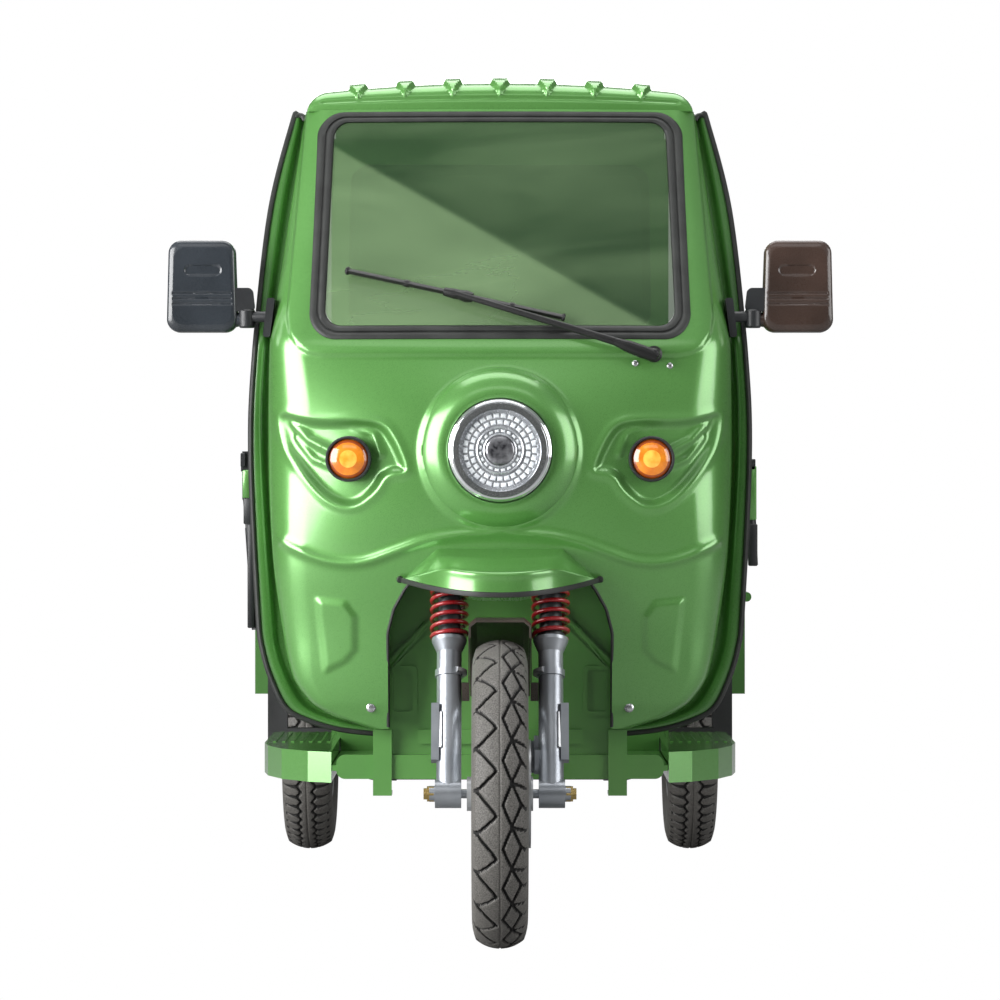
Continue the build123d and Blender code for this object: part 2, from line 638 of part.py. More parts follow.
roof = roof_body(0, ROOF_BACK)
ribs = []
for i in range(-3, 4):
    x = i * RIB_PITCH
    ribs.append(plan_poly([
        (x, ROOF_NOSE), (x + RIB_HALF, ROOF_NOSE + 60), (x + RIB_HALF, ROOF_BACK - 30),
        (x - RIB_HALF, ROOF_BACK - 30),
        (x - RIB_HALF, ROOF_NOSE + 60),
    ], 1500, 1600))
raised = roof_body(-RIB_RISE, ROOF_BACK)
for rib in ribs:
    roof += raised & rib
roof -= roof_body(SKIN, REAR_WALL_AT)
write("roof", roof)

# cab rear wall with a window and pressed panels
wall = block(-REAR_WALL_HALF, REAR_WALL_HALF, REAR_WALL_AT, REAR_WALL_AT + REAR_WALL_T, FLOOR_TOP, CAB_TOP)
WINDOW = ((-304, 1120), (304, 1120), (300, 1454), (-300, 1454))
wall -= rounded_poly(WINDOW, 40, REAR_WALL_AT - 20, REAR_WALL_AT + 60)
for side in (-1, 1):
    pocket = [(side * 30, 380), (side * 300, 380), (side * 300, 1040), (side * 30, 1040)]
    wall -= rounded_poly(pocket, 20, REAR_WALL_AT + REAR_WALL_T - 8, REAR_WALL_AT + REAR_WALL_T + 5)
write("cab_rear_wall", wall)
write("rear_window", rounded_poly(grown(WINDOW, -SEAT_GAP), 40, REAR_WALL_AT + 12, REAR_WALL_AT + 17))

# headlamp bowl and lens, turn lamps
bowl = lamp_rod(0, HEADLAMP_Z, NOSE_AT_LAMPS - 26, NOSE_AT_LAMPS + 38, LAMP_BORE_R - SEAT_GAP)
bowl += loft([lamp_plane(NOSE_AT_LAMPS - 26) * Circle(LAMP_BORE_R - SEAT_GAP),
    lamp_plane(NOSE_AT_LAMPS - 32) * Circle(84)])
bowl -= lamp_rod(0, HEADLAMP_Z, 60, NOSE_AT_LAMPS + 32, 74)
write("headlamp_shell", bowl)
lens = lamp_rod(0, HEADLAMP_Z, NOSE_AT_LAMPS - 26, NOSE_AT_LAMPS - 18, 73.7)
lens += lamp_rod(0, HEADLAMP_Z, NOSE_AT_LAMPS - 18, NOSE_AT_LAMPS + 32, 30)
write("headlamp_lens", lens)
shells = []
lenses = []
for side in (-1, 1):
    x = side * LAMP_X
    cup = lamp_rod(x, LAMP_Z, LAMP_FRONT, LAMP_FRONT + 48, LAMP_SHELL_R)
    shells.append(cup - lamp_rod(x, LAMP_Z, 100, LAMP_FRONT + 42, 36))
    plane = Plane(origin=(x, LAMP_FRONT + 42, LAMP_Z), x_dir=(1, 0, 0), z_dir=(0, -1, 0))
    dome = loft([plane.offset(38) * Circle(35.7), plane.offset(48) * Circle(24)])
    lenses.append(extrude(plane * Circle(35.7), amount=38) + dome)
write("indicator_shells", shells)
write("indicator_lenses", lenses)


# wiper lying in front of the windscreen
def on_cowl(x, z, out):
    row = cowl_row(z)
    return (x, row[1] + row[3] - math.sqrt(row[3] ** 2 - x ** 2) - out, z)


WIPER_PIVOT = (277, 1047)
WIPER_JOINT = (-81, 1157)
wiper = rod(on_cowl(*WIPER_PIVOT, 1.5), on_cowl(*WIPER_PIVOT, 36), 13)
wiper += pipe([on_cowl(*WIPER_PIVOT, 28), on_cowl(*WIPER_JOINT, 34)], 5)
wiper += rod(on_cowl(-279, 1200, 22), on_cowl(117, 1112, 22), 7)
wiper += rod(on_cowl(*WIPER_JOINT, 38), on_cowl(*WIPER_JOINT, 16), 10)
write("wiper", wiper)

# mirrors on slanted brackets at the cab corners, heads with a thick hinge block at the arm
head = rounded_poly([(478, 1090), (609, 1090), (605, 1258), (484, 1258)], 24, 300, 338)
head = chamfer([e for e in head.edges() if e.center().Y < 301], 7)
head -= rounded_poly([(490, 1102), (597, 1102), (594, 1246), (494, 1246)], 16, 332, 345)
mirror_part = head + rod((424, 306, 1118), (486, 319, 1112), 10) + rod((462, 312, 1100),
    (462, 312, 1130), 15)
mirror_part += front_poly([(418.7, 1081), (409.7, 1152), (424, 1152), (432, 1081)], 285, 327)
write("mirrors", both(mirror_part))
glass = rounded_poly([(490.3, 1102.3), (596.7, 1102.3), (593.7, 1245.7), (494.3, 1245.7)], 16, 332.3, 335.3)
write("mirror_glasses", both(glass))

# brake pedal on a floor pivot
pedal = rod((120, 470, 308), (120, 420, 408), 8) + block(90, 150, 407, 420, 383, 445)
pedal += block(108, 132, 458, 482, FLOOR_TOP, 314)
write("brake_pedal", pedal)

# seat box, battery and cushions
base = block(-FLOOR_HALF, FLOOR_HALF, 720, 1040, FLOOR_TOP, 560)
base -= block(3 - FLOOR_HALF, FLOOR_HALF - 3, 723, 1037, FLOOR_TOP - 5, 557)
base -= rounded_poly([(-230, 340), (230, 340), (230, 520), (-230, 520)], 14, 710, 721.5)
write("seat_base", base)
write("battery", block(-250, 250, 760, 1000, FLOOR_TOP, 540))
cushion = fillet(block(-322, 322, 712, 1030, 560.3, 640).edges(), 20)
backrest = fillet(block(-322, 322, 1032, 1084.7, 690, 980).edges(), 18)
write("seat_cushions", [cushion, backrest])

# cargo bed: deck sheet on cross bearers inside an edge channel, with hinge ears
SIDE_HINGES = (1330.0, 1945.0, 2560.0)
TAIL_HINGES = (-330.0, 330.0)
BED_EDGE = 490.0
BED_REAR = 2668.0
DECK_HALF = 470.0
bed = block(-BED_EDGE, BED_EDGE, BED_FRONT, BED_REAR, BED_TOP - 3, BED_TOP)
bed += block(-DECK_HALF, DECK_HALF, BED_FRONT + 47, 2652, BED_TOP, BED_TOP + 2)
for side in (-1, 1):
    bed += block(side * (BED_EDGE - 4), side * BED_EDGE, BED_FRONT, BED_REAR, BED_LOW, BED_TOP)
    bed += block(side * (BED_EDGE - 26), side * BED_EDGE, BED_FRONT, BED_REAR, BED_LOW, BED_LOW + 4)
for station in (BED_FRONT, BED_REAR - 30):
    bed += block(-BED_EDGE, BED_EDGE, station, station + 30, BED_LOW, BED_TOP)
for i in range(1, 7):
    station = BED_FRONT + i * (BED_REAR - BED_FRONT) / 7
    bed += block(-BED_EDGE, BED_EDGE, station - 25, station + 25, BED_LOW, BED_TOP)


def ear_pair(station):
    shape = rod((HINGE_X, station - 24, HINGE_Z), (HINGE_X, station + 24, HINGE_Z), HINGE_PIN_R)
    for sign in (-1, 1):
        near = station + sign * (HINGE_HALF + 1)
        far = station + sign * (HINGE_HALF + 9)
        shape += block(BED_EDGE - 2, HINGE_X, near, far, HINGE_Z - 9, HINGE_Z + 9)
        shape += rod((HINGE_X, near, HINGE_Z), (HINGE_X, far, HINGE_Z), 9)
    return shape


for station in SIDE_HINGES:
    bed += ear_pair(station)
    bed += other_side(ear_pair(station))
for x in TAIL_HINGES:
    bed += rod((x - 24, TAIL_HINGE_Y, HINGE_Z), (x + 24, TAIL_HINGE_Y, HINGE_Z), HINGE_PIN_R)
    for sign in (-1, 1):
        bed += block(x + sign * (HINGE_HALF + 1), x + sign * (HINGE_HALF + 9), BED_REAR - 4,
            TAIL_HINGE_Y + 8,
                     HINGE_Z - 9, HINGE_Z + 9)
write("cargo_floor", bed)


# drop sides: a smooth inner sheet in a rail frame, with hat-section ribs outside
def side_rib(station, inner_x, outer_x, low, high):
    return plan_poly([
        (inner_x, station - 27), (outer_x, station - 18), (outer_x, station + 18), (inner_x, station + 27),
    ], low, high)


gate_in = BED_HALF - GATE_T
gate_front = BED_FRONT + 45 + MOVE_GAP
gate_back = 2655.0
gate = block(gate_in, gate_in + 3, gate_front, gate_back, GATE_LOW, GATE_TOP)
gate += block(gate_in, BED_HALF, gate_front, gate_back, GATE_TOP - 22, GATE_TOP)
gate += block(gate_in, BED_HALF, gate_front, gate_back, GATE_LOW, GATE_LOW + 20)
gate += block(gate_in, BED_HALF, gate_front, gate_front + 20, GATE_LOW, GATE_TOP)
gate += block(gate_in, BED_HALF, gate_back - 20, gate_back, GATE_LOW, GATE_TOP)
for i in range(7):
    station = SIDE_HINGES[0] + i * (SIDE_HINGES[2] - SIDE_HINGES[0]) / 6
    gate += side_rib(station, gate_in + 2, BED_HALF, GATE_LOW, GATE_TOP)
for station in SIDE_HINGES:
    gate += rod((HINGE_X, station - HINGE_HALF, HINGE_Z), (HINGE_X, station + HINGE_HALF, HINGE_Z), HINGE_R)
    gate += block(BED_HALF, BED_HALF + 4, station - HINGE_HALF, station + HINGE_HALF, HINGE_Z, 660)
    gate -= rod((HINGE_X, station - 30, HINGE_Z), (HINGE_X, station + 30, HINGE_Z), HINGE_PIN_R + RUN_GAP)
write("right_gate", gate)
write("left_gate", other_side(gate))

tail_in = gate_back + 6
tail_out = tail_in + 21
tail = block(-BED_HALF, BED_HALF, tail_in, tail_in + 3, GATE_LOW, GATE_TOP)
tail += block(-BED_HALF, BED_HALF, tail_in, tail_out, GATE_TOP - 22, GATE_TOP)
tail += block(-BED_HALF, BED_HALF, tail_in, tail_out, GATE_LOW, GATE_LOW + 20)
for side in (-1, 1):
    tail += block(side * (BED_HALF - 20), side * BED_HALF, tail_in, tail_out, GATE_LOW, GATE_TOP)
for i in range(5):
    x = TAIL_HINGES[0] + i * (TAIL_HINGES[1] - TAIL_HINGES[0]) / 4
    tail += plan_poly([(x - 27, tail_in + 2), (x + 27, tail_in + 2), (x + 18, tail_out),
        (x - 18, tail_out)], GATE_LOW, GATE_TOP)
for x in TAIL_HINGES:
    tail += rod((x - HINGE_HALF, TAIL_HINGE_Y, HINGE_Z), (x + HINGE_HALF, TAIL_HINGE_Y, HINGE_Z), HINGE_R)
    tail += block(x - HINGE_HALF, x + HINGE_HALF, tail_out, tail_out + 4, HINGE_Z, 660)
    tail -= rod((x - 30, TAIL_HINGE_Y, HINGE_Z), (x + 30, TAIL_HINGE_Y, HINGE_Z), HINGE_PIN_R + RUN_GAP)
write("tailgate", tail)

# headboard between two corner posts
board = block(-BED_HALF, BED_HALF, BED_FRONT + 19, BED_FRONT + 22, BED_TOP, GATE_TOP)
board += block(-BED_HALF, BED_HALF, BED_FRONT, BED_FRONT + 22, GATE_TOP - 22, GATE_TOP)
board += block(-BED_HALF, BED_HALF, BED_FRONT, BED_FRONT + 22, BED_TOP, BED_TOP + 20)
for i in range(5):
    x = -330 + i * 165
    board += plan_poly([(x - 27, BED_FRONT + 20), (x + 27, BED_FRONT + 20), (x + 18, BED_FRONT),
        (x - 18, BED_FRONT)], BED_TOP, GATE_TOP)
for side in (-1, 1):
    board += block(side * 460, side * BED_HALF, BED_FRONT, BED_FRONT + 45, BED_TOP, GATE_TOP + 10)
write("headboard", board)

# corner latches: a bracket, a lever and a gripped handle, at the height each side shows
latch_left = block(-523, -511, 1180, 1196, 781, 879) + rod((-517, 1188, 790), (-505, 1188, 660), 6)
latch_left += rod((-508, 1188, 724), (-494, 1188, 517), 10)
latch_left += block(-518, -470, 1192, 1200, 830, 860) + block(-526, -508, 1184, 1192, 838, 860)
latch_right = block(502, 514, 1180, 1196, 735, 853) + rod((510, 1188, 740), (514, 1188, 648), 10)
latch_right += block(470, 508, 1192, 1200, 790, 820) + block(500, 518, 1184, 1192, 838, 862)
write("gate_latches", [latch_left, latch_right])

# rear mudguards: side skirts as shallow pressings, and arcs over the wheels on a hanger
GUARD_TOP_R = WHEEL_R + 17
guards = []
for front, back in ((BED_FRONT, 1755), (2345, 2650)):
    skirt = block(468, 498, front, back, 386, BED_LOW)
    skirt -= block(460, 495, front + 3, back - 3, 389, BED_LOW - 3)
    guards.append(skirt)
arc_face = make_face(Polyline((366, GUARD_TOP_R - 4), (494, GUARD_TOP_R - 4), (494, GUARD_TOP_R),
    (366, GUARD_TOP_R), close=True))
arc = Pos(0, WHEELBASE, WHEEL_R) * Rot(25, 0, 0) * revolve(Plane.XY * arc_face, axis=Axis.X,
    revolution_arc=130)
guards.append(arc + block(405, 440, WHEELBASE - 20, WHEELBASE + 20, 555, BED_LOW))
right_guards = []
for shape in guards:
    right_guards += both(shape)
write("rear_mudguards", right_guards)

# rear axle with its motor housing, brake plates and spring seats
axle_parts = [rod((-330, WHEELBASE, WHEEL_R), (330, WHEELBASE, WHEEL_R), 33)]
housing = ring_about_x([(-120, 30), (-90, 88), (-60, 105), (60, 105), (90, 88), (120, 30)])
axle_parts.append(Pos(0, WHEELBASE, WHEEL_R) * housing)
axle_parts.append(rod((0, WHEELBASE - 60, WHEEL_R), (0, WHEELBASE - 190, WHEEL_R + 20), 62))
axle_parts.append(rod((-REAR_WHEEL_X - 52, WHEELBASE, WHEEL_R), (REAR_WHEEL_X + 52, WHEELBASE, WHEEL_R),
    REAR_STUB_R))
for side in (-1, 1):
    axle_parts.append(block(side * 195, side * 247, WHEELBASE - 45, WHEELBASE + 45, WHEEL_R, 312))
    axle_parts.append(rod((side * 330, WHEELBASE, WHEEL_R), (side * 338, WHEELBASE, WHEEL_R), 80))
write("rear_axle", fuse(axle_parts))

# leaf packs, three curved leaves and a clamp over each end of the axle
LEAVES = ((300, 0), (220, 9), (140, 18))
CAMBER = 118.0
LEAF_T = 9.0
leaf_parts = []
for half, drop in LEAVES:
    middle = 339 - drop
    ends = middle + CAMBER * (half / LEAVES[0][0]) ** 2
    outline = [
        ThreePointArc((WHEELBASE - half, ends), (WHEELBASE, middle), (WHEELBASE + half, ends)),
        Line((WHEELBASE + half, ends), (WHEELBASE + half, ends - LEAF_T)),
        ThreePointArc((WHEELBASE + half, ends - LEAF_T), (WHEELBASE, middle - LEAF_T),
        (WHEELBASE - half, ends - LEAF_T)),
        Line((WHEELBASE - half, ends - LEAF_T), (WHEELBASE - half, ends)),
    ]
    sketch = Plane(origin=(197, 0, 0), x_dir=(0, 1, 0), z_dir=(1, 0, 0)) * make_face(outline)
    leaf_parts.append(extrude(sketch, amount=48))
for station in (1750, 2350):
    leaf_parts.append(rod((197, station, 457), (245, station, 457), 9))
leaf_parts.append(block(195, 247, WHEELBASE - 40, WHEELBASE + 40, 330, 352))
write("leaf_springs", both(fuse(leaf_parts)))

# rear bumper with a plate's two bolt holes, and tail lamps
bumper = block(-420, 420, 2640, 2660, 400, 450) - block(-417, 417, 2630, 2657, 403, 447)
for side in (-1, 1):
    bumper += block(side * 202, side * 238, 2640, 2652, 440, 556)
for x in (-70, 70):
    bumper -= rod((x, 2630, 425), (x, 2670, 425), 3.5)
write("rear_bumper", bumper)
tail_lamp = rounded_poly([(300, 405), (410, 405), (410, 445), (300, 445)], 8, 2660, 2678)
write("tail_lamps", both(tail_lamp))
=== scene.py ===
import bpy
import bmesh
import numpy as np
from math import atan2, cos, hypot, pi, radians, sin, sqrt, tan
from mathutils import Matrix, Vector


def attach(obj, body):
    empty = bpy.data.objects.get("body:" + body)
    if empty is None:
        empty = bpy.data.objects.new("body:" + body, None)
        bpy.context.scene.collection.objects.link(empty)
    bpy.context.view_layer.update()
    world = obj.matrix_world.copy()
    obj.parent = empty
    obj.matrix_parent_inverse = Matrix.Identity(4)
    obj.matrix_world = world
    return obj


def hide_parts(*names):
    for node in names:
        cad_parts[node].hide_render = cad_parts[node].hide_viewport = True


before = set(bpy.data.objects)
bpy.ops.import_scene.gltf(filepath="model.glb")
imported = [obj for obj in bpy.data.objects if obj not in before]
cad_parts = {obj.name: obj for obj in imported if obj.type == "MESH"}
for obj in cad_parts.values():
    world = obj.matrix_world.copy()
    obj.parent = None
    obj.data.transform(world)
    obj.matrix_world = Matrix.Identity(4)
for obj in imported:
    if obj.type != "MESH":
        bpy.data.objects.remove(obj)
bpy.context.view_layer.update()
SCENE = bpy.context.scene

# layout values shared with the solids, millimetres; a station counts from the front axle backwards
SHIFT = -1215
WHEEL_R = 270
RAKE = radians(20)
SKIN = 4
SILL_Z = 1068
CAB_TOP = 1505
FLANGE_AT = 330
FLANGE_TOP_AT = 506
LEG_X = 90
HEADLAMP_Z = 873
LAMP_X = 272
LAMP_Z = 858
MM = 0.001
BUMP_DEPTH = 0.001

# camera: focal length and horizon in picture pixels follow from the lens, for what is placed by picture rows
LENS, SENSOR, CAMERA_SHIFT, IMAGE = 154, 36, -0.018, 1000
CAMERA_STATION, CAMERA_Z = -7500, 816.7
FOCAL, HORIZON = 4278, 482

CORNERS = ((-1, -1), (1, -1), (1, 1), (-1, 1))


def spot(x, station, z):
    return Vector((x * MM, (station + SHIFT) * MM, z * MM))


def along_leg(x, t):
    return (x, t * sin(RAKE), WHEEL_R + t * cos(RAKE))


# materials
def add_node(tree, kind, inputs=(), **settings):
    node = tree.nodes.new(kind)
    for key, value in settings.items():
        setattr(node, key, value)
    for key, value in dict(inputs).items():
        if isinstance(value, bpy.types.NodeSocket):
            tree.links.new(value, node.inputs[key])
        else:
            node.inputs[key].default_value = value
    return node


def shader(name, color, rough, metallic=0, coat=(0, 0.03), specular=0.5):
    mat = bpy.data.materials.new(name)
    mat.use_nodes = True
    sockets = mat.node_tree.nodes["Principled BSDF"].inputs
    values = {"Base Color": (*color, 1), "Roughness": rough, "Metallic": metallic, "Specular IOR Level": specular,
              "Coat Weight": coat[0], "Coat Roughness": coat[1]}
    for key, value in values.items():
        sockets[key].default_value = value
    mat.diffuse_color = (*color, 1)
    return mat


def texture(mat, kind, scale, **settings):
    place = add_node(mat.node_tree, "ShaderNodeTexCoord").outputs["Object"]
    return add_node(mat.node_tree, kind, {"Vector": place, "Scale": scale, **settings})


def ramp(tree, source, low, high, start, end):
    node = add_node(tree, "ShaderNodeValToRGB", {"Fac": source})
    for stop, place, color in zip(node.color_ramp.elements, (start, end), (low, high)):
        stop.position = place
        stop.color = (*color, 1)
    return node.outputs["Color"]


def tone(mat, source, low, high, start=0.35, end=0.65, target="Base Color"):
    tree = mat.node_tree
    tree.links.new(ramp(tree, source, low, high, start, end), tree.nodes["Principled BSDF"].inputs[target])


def bump(mat, source, strength):
    tree = mat.node_tree
    node = add_node(tree, "ShaderNodeBump", {"Strength": strength, "Distance": BUMP_DEPTH, "Height": source})
    tree.links.new(node.outputs["Normal"], tree.nodes["Principled BSDF"].inputs["Normal"])


def finish(name, low, high, rough, metallic=0, scale=6, grain=500, strength=0.05, rough_span=0.08,
           coat=(0, 0.03)):
    # a cloudy colour between low and high, and a fine grain in its gloss and relief
    mat = shader(name, high, rough, metallic, coat)
    tone(mat, texture(mat, "ShaderNodeTexNoise", scale, Detail=4).outputs["Fac"], low, high)
    fine = texture(mat, "ShaderNodeTexNoise", grain, Detail=2).outputs["Fac"]
    tone(mat, fine, (rough - rough_span,) * 3, (rough + rough_span,) * 3, target="Roughness")
    bump(mat, fine, strength)
    return mat


PAINT = finish("green_paint", (0.1, 0.292, 0.062), (0.118, 0.322, 0.076), 0.3, 0.4, 3, 1400, 0.006, 0.04,
               coat=(1, 0.14))
# a darker copy of the body green for the rear wall, seat base and rear mudguards: painted shade inside and under
# the cab
PAINT_SHADED = finish("green_paint_painted_shade", (0.05, 0.16, 0.03), (0.07, 0.2, 0.042), 0.4, 0.1, 5, 900, 0.03, 0.06,
                    coat=(0.3, 0.15))
CHASSIS = finish("chassis_black", (0.012, 0.012, 0.013), (0.026, 0.026, 0.028), 0.5, 0, 8, 350, 0.1)
RUBBER = finish("black_rubber", (0.012, 0.013, 0.012), (0.024, 0.026, 0.024), 0.55, 0, 20, 700, 0.12)
# near-black rubber for the deep faces of the tread grooves: painted shade in the grooves
TYRE_GROOVE_SHADE = finish("tyre_groove_painted_shade", (0.006, 0.006, 0.006), (0.012, 0.011, 0.01), 0.85, 0, 20, 300, 0.1)
TYRE = finish("tyre_rubber", (0.06, 0.056, 0.051), (0.14, 0.133, 0.123), 0.62, 0, 420, 700, 0.3)
WIPER_BLACK = finish("wiper_black", (0.005, 0.005, 0.005), (0.01, 0.01, 0.01), 0.42, 0, 20, 700, 0.05)
PAN_PAINT = finish("green_floor_pan", (0.1, 0.29, 0.064), (0.13, 0.34, 0.08), 0.34, 0.2, 4, 900, 0.01, 0.05,
                   coat=(0.8, 0.12))
PLASTIC = finish("black_plastic", (0.014, 0.015, 0.017), (0.028, 0.03, 0.032), 0.42, 0, 10, 900, 0.08)
# one black plastic for both mirrors, in a cool tint and a warm tint: painted reflections
MIRROR_COOL_REFLECTION = finish("mirror_plastic", (0.014, 0.018, 0.023), (0.026, 0.032, 0.04), 0.32, 0, 8, 900, 0.05,
                      coat=(0.6, 0.08))
MIRROR_WARM_REFLECTION = finish("mirror_plastic_painted_warm_reflection", (0.034, 0.02, 0.015), (0.058, 0.034, 0.026), 0.32, 0, 8, 900,
                     0.05, coat=(0.6, 0.08))
GUARD = finish("guard_plastic", (0.03, 0.023, 0.019), (0.055, 0.043, 0.035), 0.34, 0, 9, 700, 0.05)
BRASS = finish("nut_brass", (0.42, 0.3, 0.1), (0.55, 0.4, 0.16), 0.32, 0.9, 30, 500, 0.05)
CHROME = finish("lamp_chrome", (0.8, 0.82, 0.84), (0.92, 0.93, 0.95), 0.09, 0.95, 9, 300, 0.01, 0.03)
SILVER = finish("lamp_silver", (0.5, 0.52, 0.55), (0.7, 0.72, 0.75), 0.22, 0.7, 60, 300, 0.03, 0.06)
ALLOY = finish("cast_alloy", (0.3, 0.32, 0.35), (0.4, 0.42, 0.45), 0.36, 0.8, 12, 420, 0.06)
STEEL = finish("fork_steel", (0.5, 0.51, 0.52), (0.62, 0.63, 0.64), 0.25, 0.9, 12, 500, 0.03)
SPRING = finish("spring_red", (0.24, 0.006, 0.01), (0.36, 0.012, 0.016), 0.3, 0.1, 14, 500, 0.03,
                coat=(0.5, 0.03))
RIM = finish("rim_silver", (0.42, 0.43, 0.44), (0.52, 0.53, 0.54), 0.36, 0.7, 9, 420, 0.05)
IRON = finish("axle_iron", (0.03, 0.03, 0.032), (0.06, 0.058, 0.056), 0.55, 0.4, 14, 240, 0.25)
LEAF = finish("spring_steel", (0.035, 0.035, 0.038), (0.07, 0.068, 0.066), 0.48, 0.5, 18, 260, 0.2)
VINYL = finish("seat_vinyl", (0.012, 0.012, 0.013), (0.02, 0.02, 0.021), 0.55, 0, 6, 900, 0.06, 0.04)
BATTERY = finish("battery_case", (0.02, 0.02, 0.022), (0.035, 0.035, 0.038), 0.55, 0, 9, 400, 0.1)
BED = finish("bed_steel", (0.075, 0.23, 0.048), (0.1, 0.28, 0.062), 0.42, 0.2, 5, 300, 0.06, coat=(0.3, 0.03))
SILVERED = finish("mirror_silver", (0.8, 0.82, 0.84), (0.86, 0.88, 0.9), 0.04, 1, 3, 60, 0, 0.01)
AMBER = finish("amber_plastic", (0.7, 0.17, 0.008), (0.95, 0.3, 0.015), 0.14, 0, 40, 300, 0.02, 0.04,
               coat=(1, 0.03))
# a pale amber for the lens's core, a painted glow, and a deep amber for its outer ring, painted shade
AMBER_GLOW = finish("amber_painted_glow", (0.95, 0.36, 0.03), (1, 0.62, 0.1), 0.14, 0, 60, 300, 0.02, 0.04,
                    coat=(1, 0.03))
AMBER_RIM_SHADE = finish("amber_rim_painted_shade", (0.3, 0.05, 0.004), (0.42, 0.08, 0.006), 0.16, 0, 40, 300, 0.02, 0.04,
                   coat=(1, 0.03))
RED = shader("red_plastic", (0.5, 0.01, 0.012), 0.16, coat=(1, 0.05))
reds = texture(RED, "ShaderNodeTexVoronoi", 160)
tone(RED, reds.outputs["Distance"], (0.62, 0.015, 0.015), (0.3, 0.004, 0.006), 0.1, 0.8)
bump(RED, reds.outputs["Distance"], 0.3)


# tinted glass: a cloudy tone and opacity that are painted reflections of clouds, and a paler strip below a slanted
# line, a painted reflection of the sky on the screen
REFLECTION_SLANT, REFLECTION_FROM, REFLECTION_TO = (-0.503, 0, -0.864), -1.093, -1.079
REFLECTED_CLOUD_STRETCH = (0.55, 1, 2.2)
TONE_FROM, TONE_TO = 0.28, 0.85


def glass_material(name, low, high, rough, alpha_low, alpha_high, scale, reflection_band=0):
    mat = shader(name, high, rough, coat=(1, 0.02), specular=0.6)
    mat.surface_render_method = "BLENDED"
    tree = mat.node_tree
    place = add_node(tree, "ShaderNodeTexCoord").outputs["Object"]
    stretch = add_node(tree, "ShaderNodeMapping", {"Vector": place, "Scale": REFLECTED_CLOUD_STRETCH}).outputs["Vector"]
    reflected_cloud = add_node(tree, "ShaderNodeTexNoise",
                     {"Vector": stretch, "Scale": scale, "Detail": 5, "Distortion": 0.6})
    slant = add_node(tree, "ShaderNodeVectorMath", {0: place, 1: REFLECTION_SLANT}, operation="DOT_PRODUCT")
    edge = add_node(tree, "ShaderNodeMapRange", {"Value": slant.outputs["Value"], "From Min": REFLECTION_FROM,
                                                 "From Max": REFLECTION_TO, "To Min": 0, "To Max": reflection_band},
                    interpolation_type="SMOOTHSTEP")
    both = add_node(tree, "ShaderNodeMath", {0: reflected_cloud.outputs["Fac"], 1: 1 - reflection_band, 2: edge.outputs["Result"]},
                    operation="MULTIPLY_ADD")
    tone(mat, both.outputs[0], low, high, TONE_FROM, TONE_TO)
    tone(mat, both.outputs[0], (alpha_low,) * 3, (alpha_high,) * 3, TONE_FROM, TONE_TO, target="Alpha")
    return mat


# the windscreen carries both painted reflections, the clouds and the paler strip; the rear glass carries only the
# painted clouds
SCREEN_GLASS = glass_material("clear_glass", (0.02, 0.055, 0.017), (0.21, 0.33, 0.16), 0.03, 0.62, 0.74, 3.2, 0.3)
REAR_GLASS = glass_material("rear_tint", (0.02, 0.05, 0.015), (0.045, 0.09, 0.035), 0.05, 0.93, 0.97, 2)
LAMP_CLEAR = glass_material("lamp_clear", (0.75, 0.8, 0.82), (0.8, 0.84, 0.86), 0.02, 0.1, 0.2, 60)

# finishes of the solids' own nodes, and the nodes whose edges get a small round
NODE_FINISH = (
    (PAINT, "step_boards front_cowl cowl_flange brow roof left_gate right_gate tailgate"), (PAN_PAINT, "cab_floor"),
    (PAINT_SHADED, "cab_rear_wall seat_base rear_mudguards"), (BED, "cargo_floor headboard"),
    (CHASSIS, "frame brake_pedal rear_bumper handlebar"), (RUBBER, "cowl_trim windscreen_gasket"),
    (PLASTIC, "indicator_shells wiper gate_latches"), (SCREEN_GLASS, "windscreen"), (REAR_GLASS, "rear_window"),
    (CHROME, "headlamp_shell"), (LAMP_CLEAR, "headlamp_lens"), (AMBER, "indicator_lenses"), (RED, "tail_lamps"),
    (MIRROR_COOL_REFLECTION, "mirrors"), (SILVERED, "mirror_glasses"), (BATTERY, "battery"), (VINYL, "seat_cushions"),
    (IRON, "rear_axle"), (LEAF, "leaf_springs"), (ALLOY, "fork_lowers"), (STEEL, "fork_yoke"),
    (SPRING, "fork_springs"), (GUARD, "front_mudguard"), (TYRE, "front_tyre left_tyre right_tyre"),
    (RIM, "front_wheel left_wheel right_wheel"),
)
BEVELLED = """
    frame cab_floor step_boards cab_rear_wall seat_base battery cargo_floor headboard gate_latches rear_mudguards
    rear_axle leaf_springs rear_bumper tail_lamps fork_lowers fork_yoke handlebar front_mudguard front_wheel
    left_wheel right_wheel left_gate right_gate tailgate brake_pedal
""".split()
EDGE_ROUND, EDGE_ANGLE = 0.0012, 40
FINISH_OF = {node: mat for mat, nodes in NODE_FINISH for node in nodes.split()}
for node_name, node_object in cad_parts.items():
    for place in node_object.material_slots:
        place.material = FINISH_OF[node_name]
    if node_name in BEVELLED:
        soften = node_object.modifiers.new("edge", "BEVEL")
        soften.width = EDGE_ROUND
        soften.segments = 2
        soften.limit_method = "ANGLE"
        soften.angle_limit = radians(EDGE_ANGLE)


# mesh helpers
def around(count):
    return [2 * pi * k / count for k in range(count)]


def placed(name, data):
    obj = bpy.data.objects.new(name, data)
    SCENE.collection.objects.link(obj)
    return obj


def face_out(mesh, sharp=None):
    work = bmesh.new()
    work.from_mesh(mesh)
    bmesh.ops.recalc_face_normals(work, faces=work.faces)
    if sharp:
        for face in work.faces:
            face.smooth = True
        for edge in work.edges:
            edge.smooth = len(edge.link_faces) == 2 and edge.calc_face_angle(0) < radians(sharp)
    work.to_mesh(mesh)
    work.free()


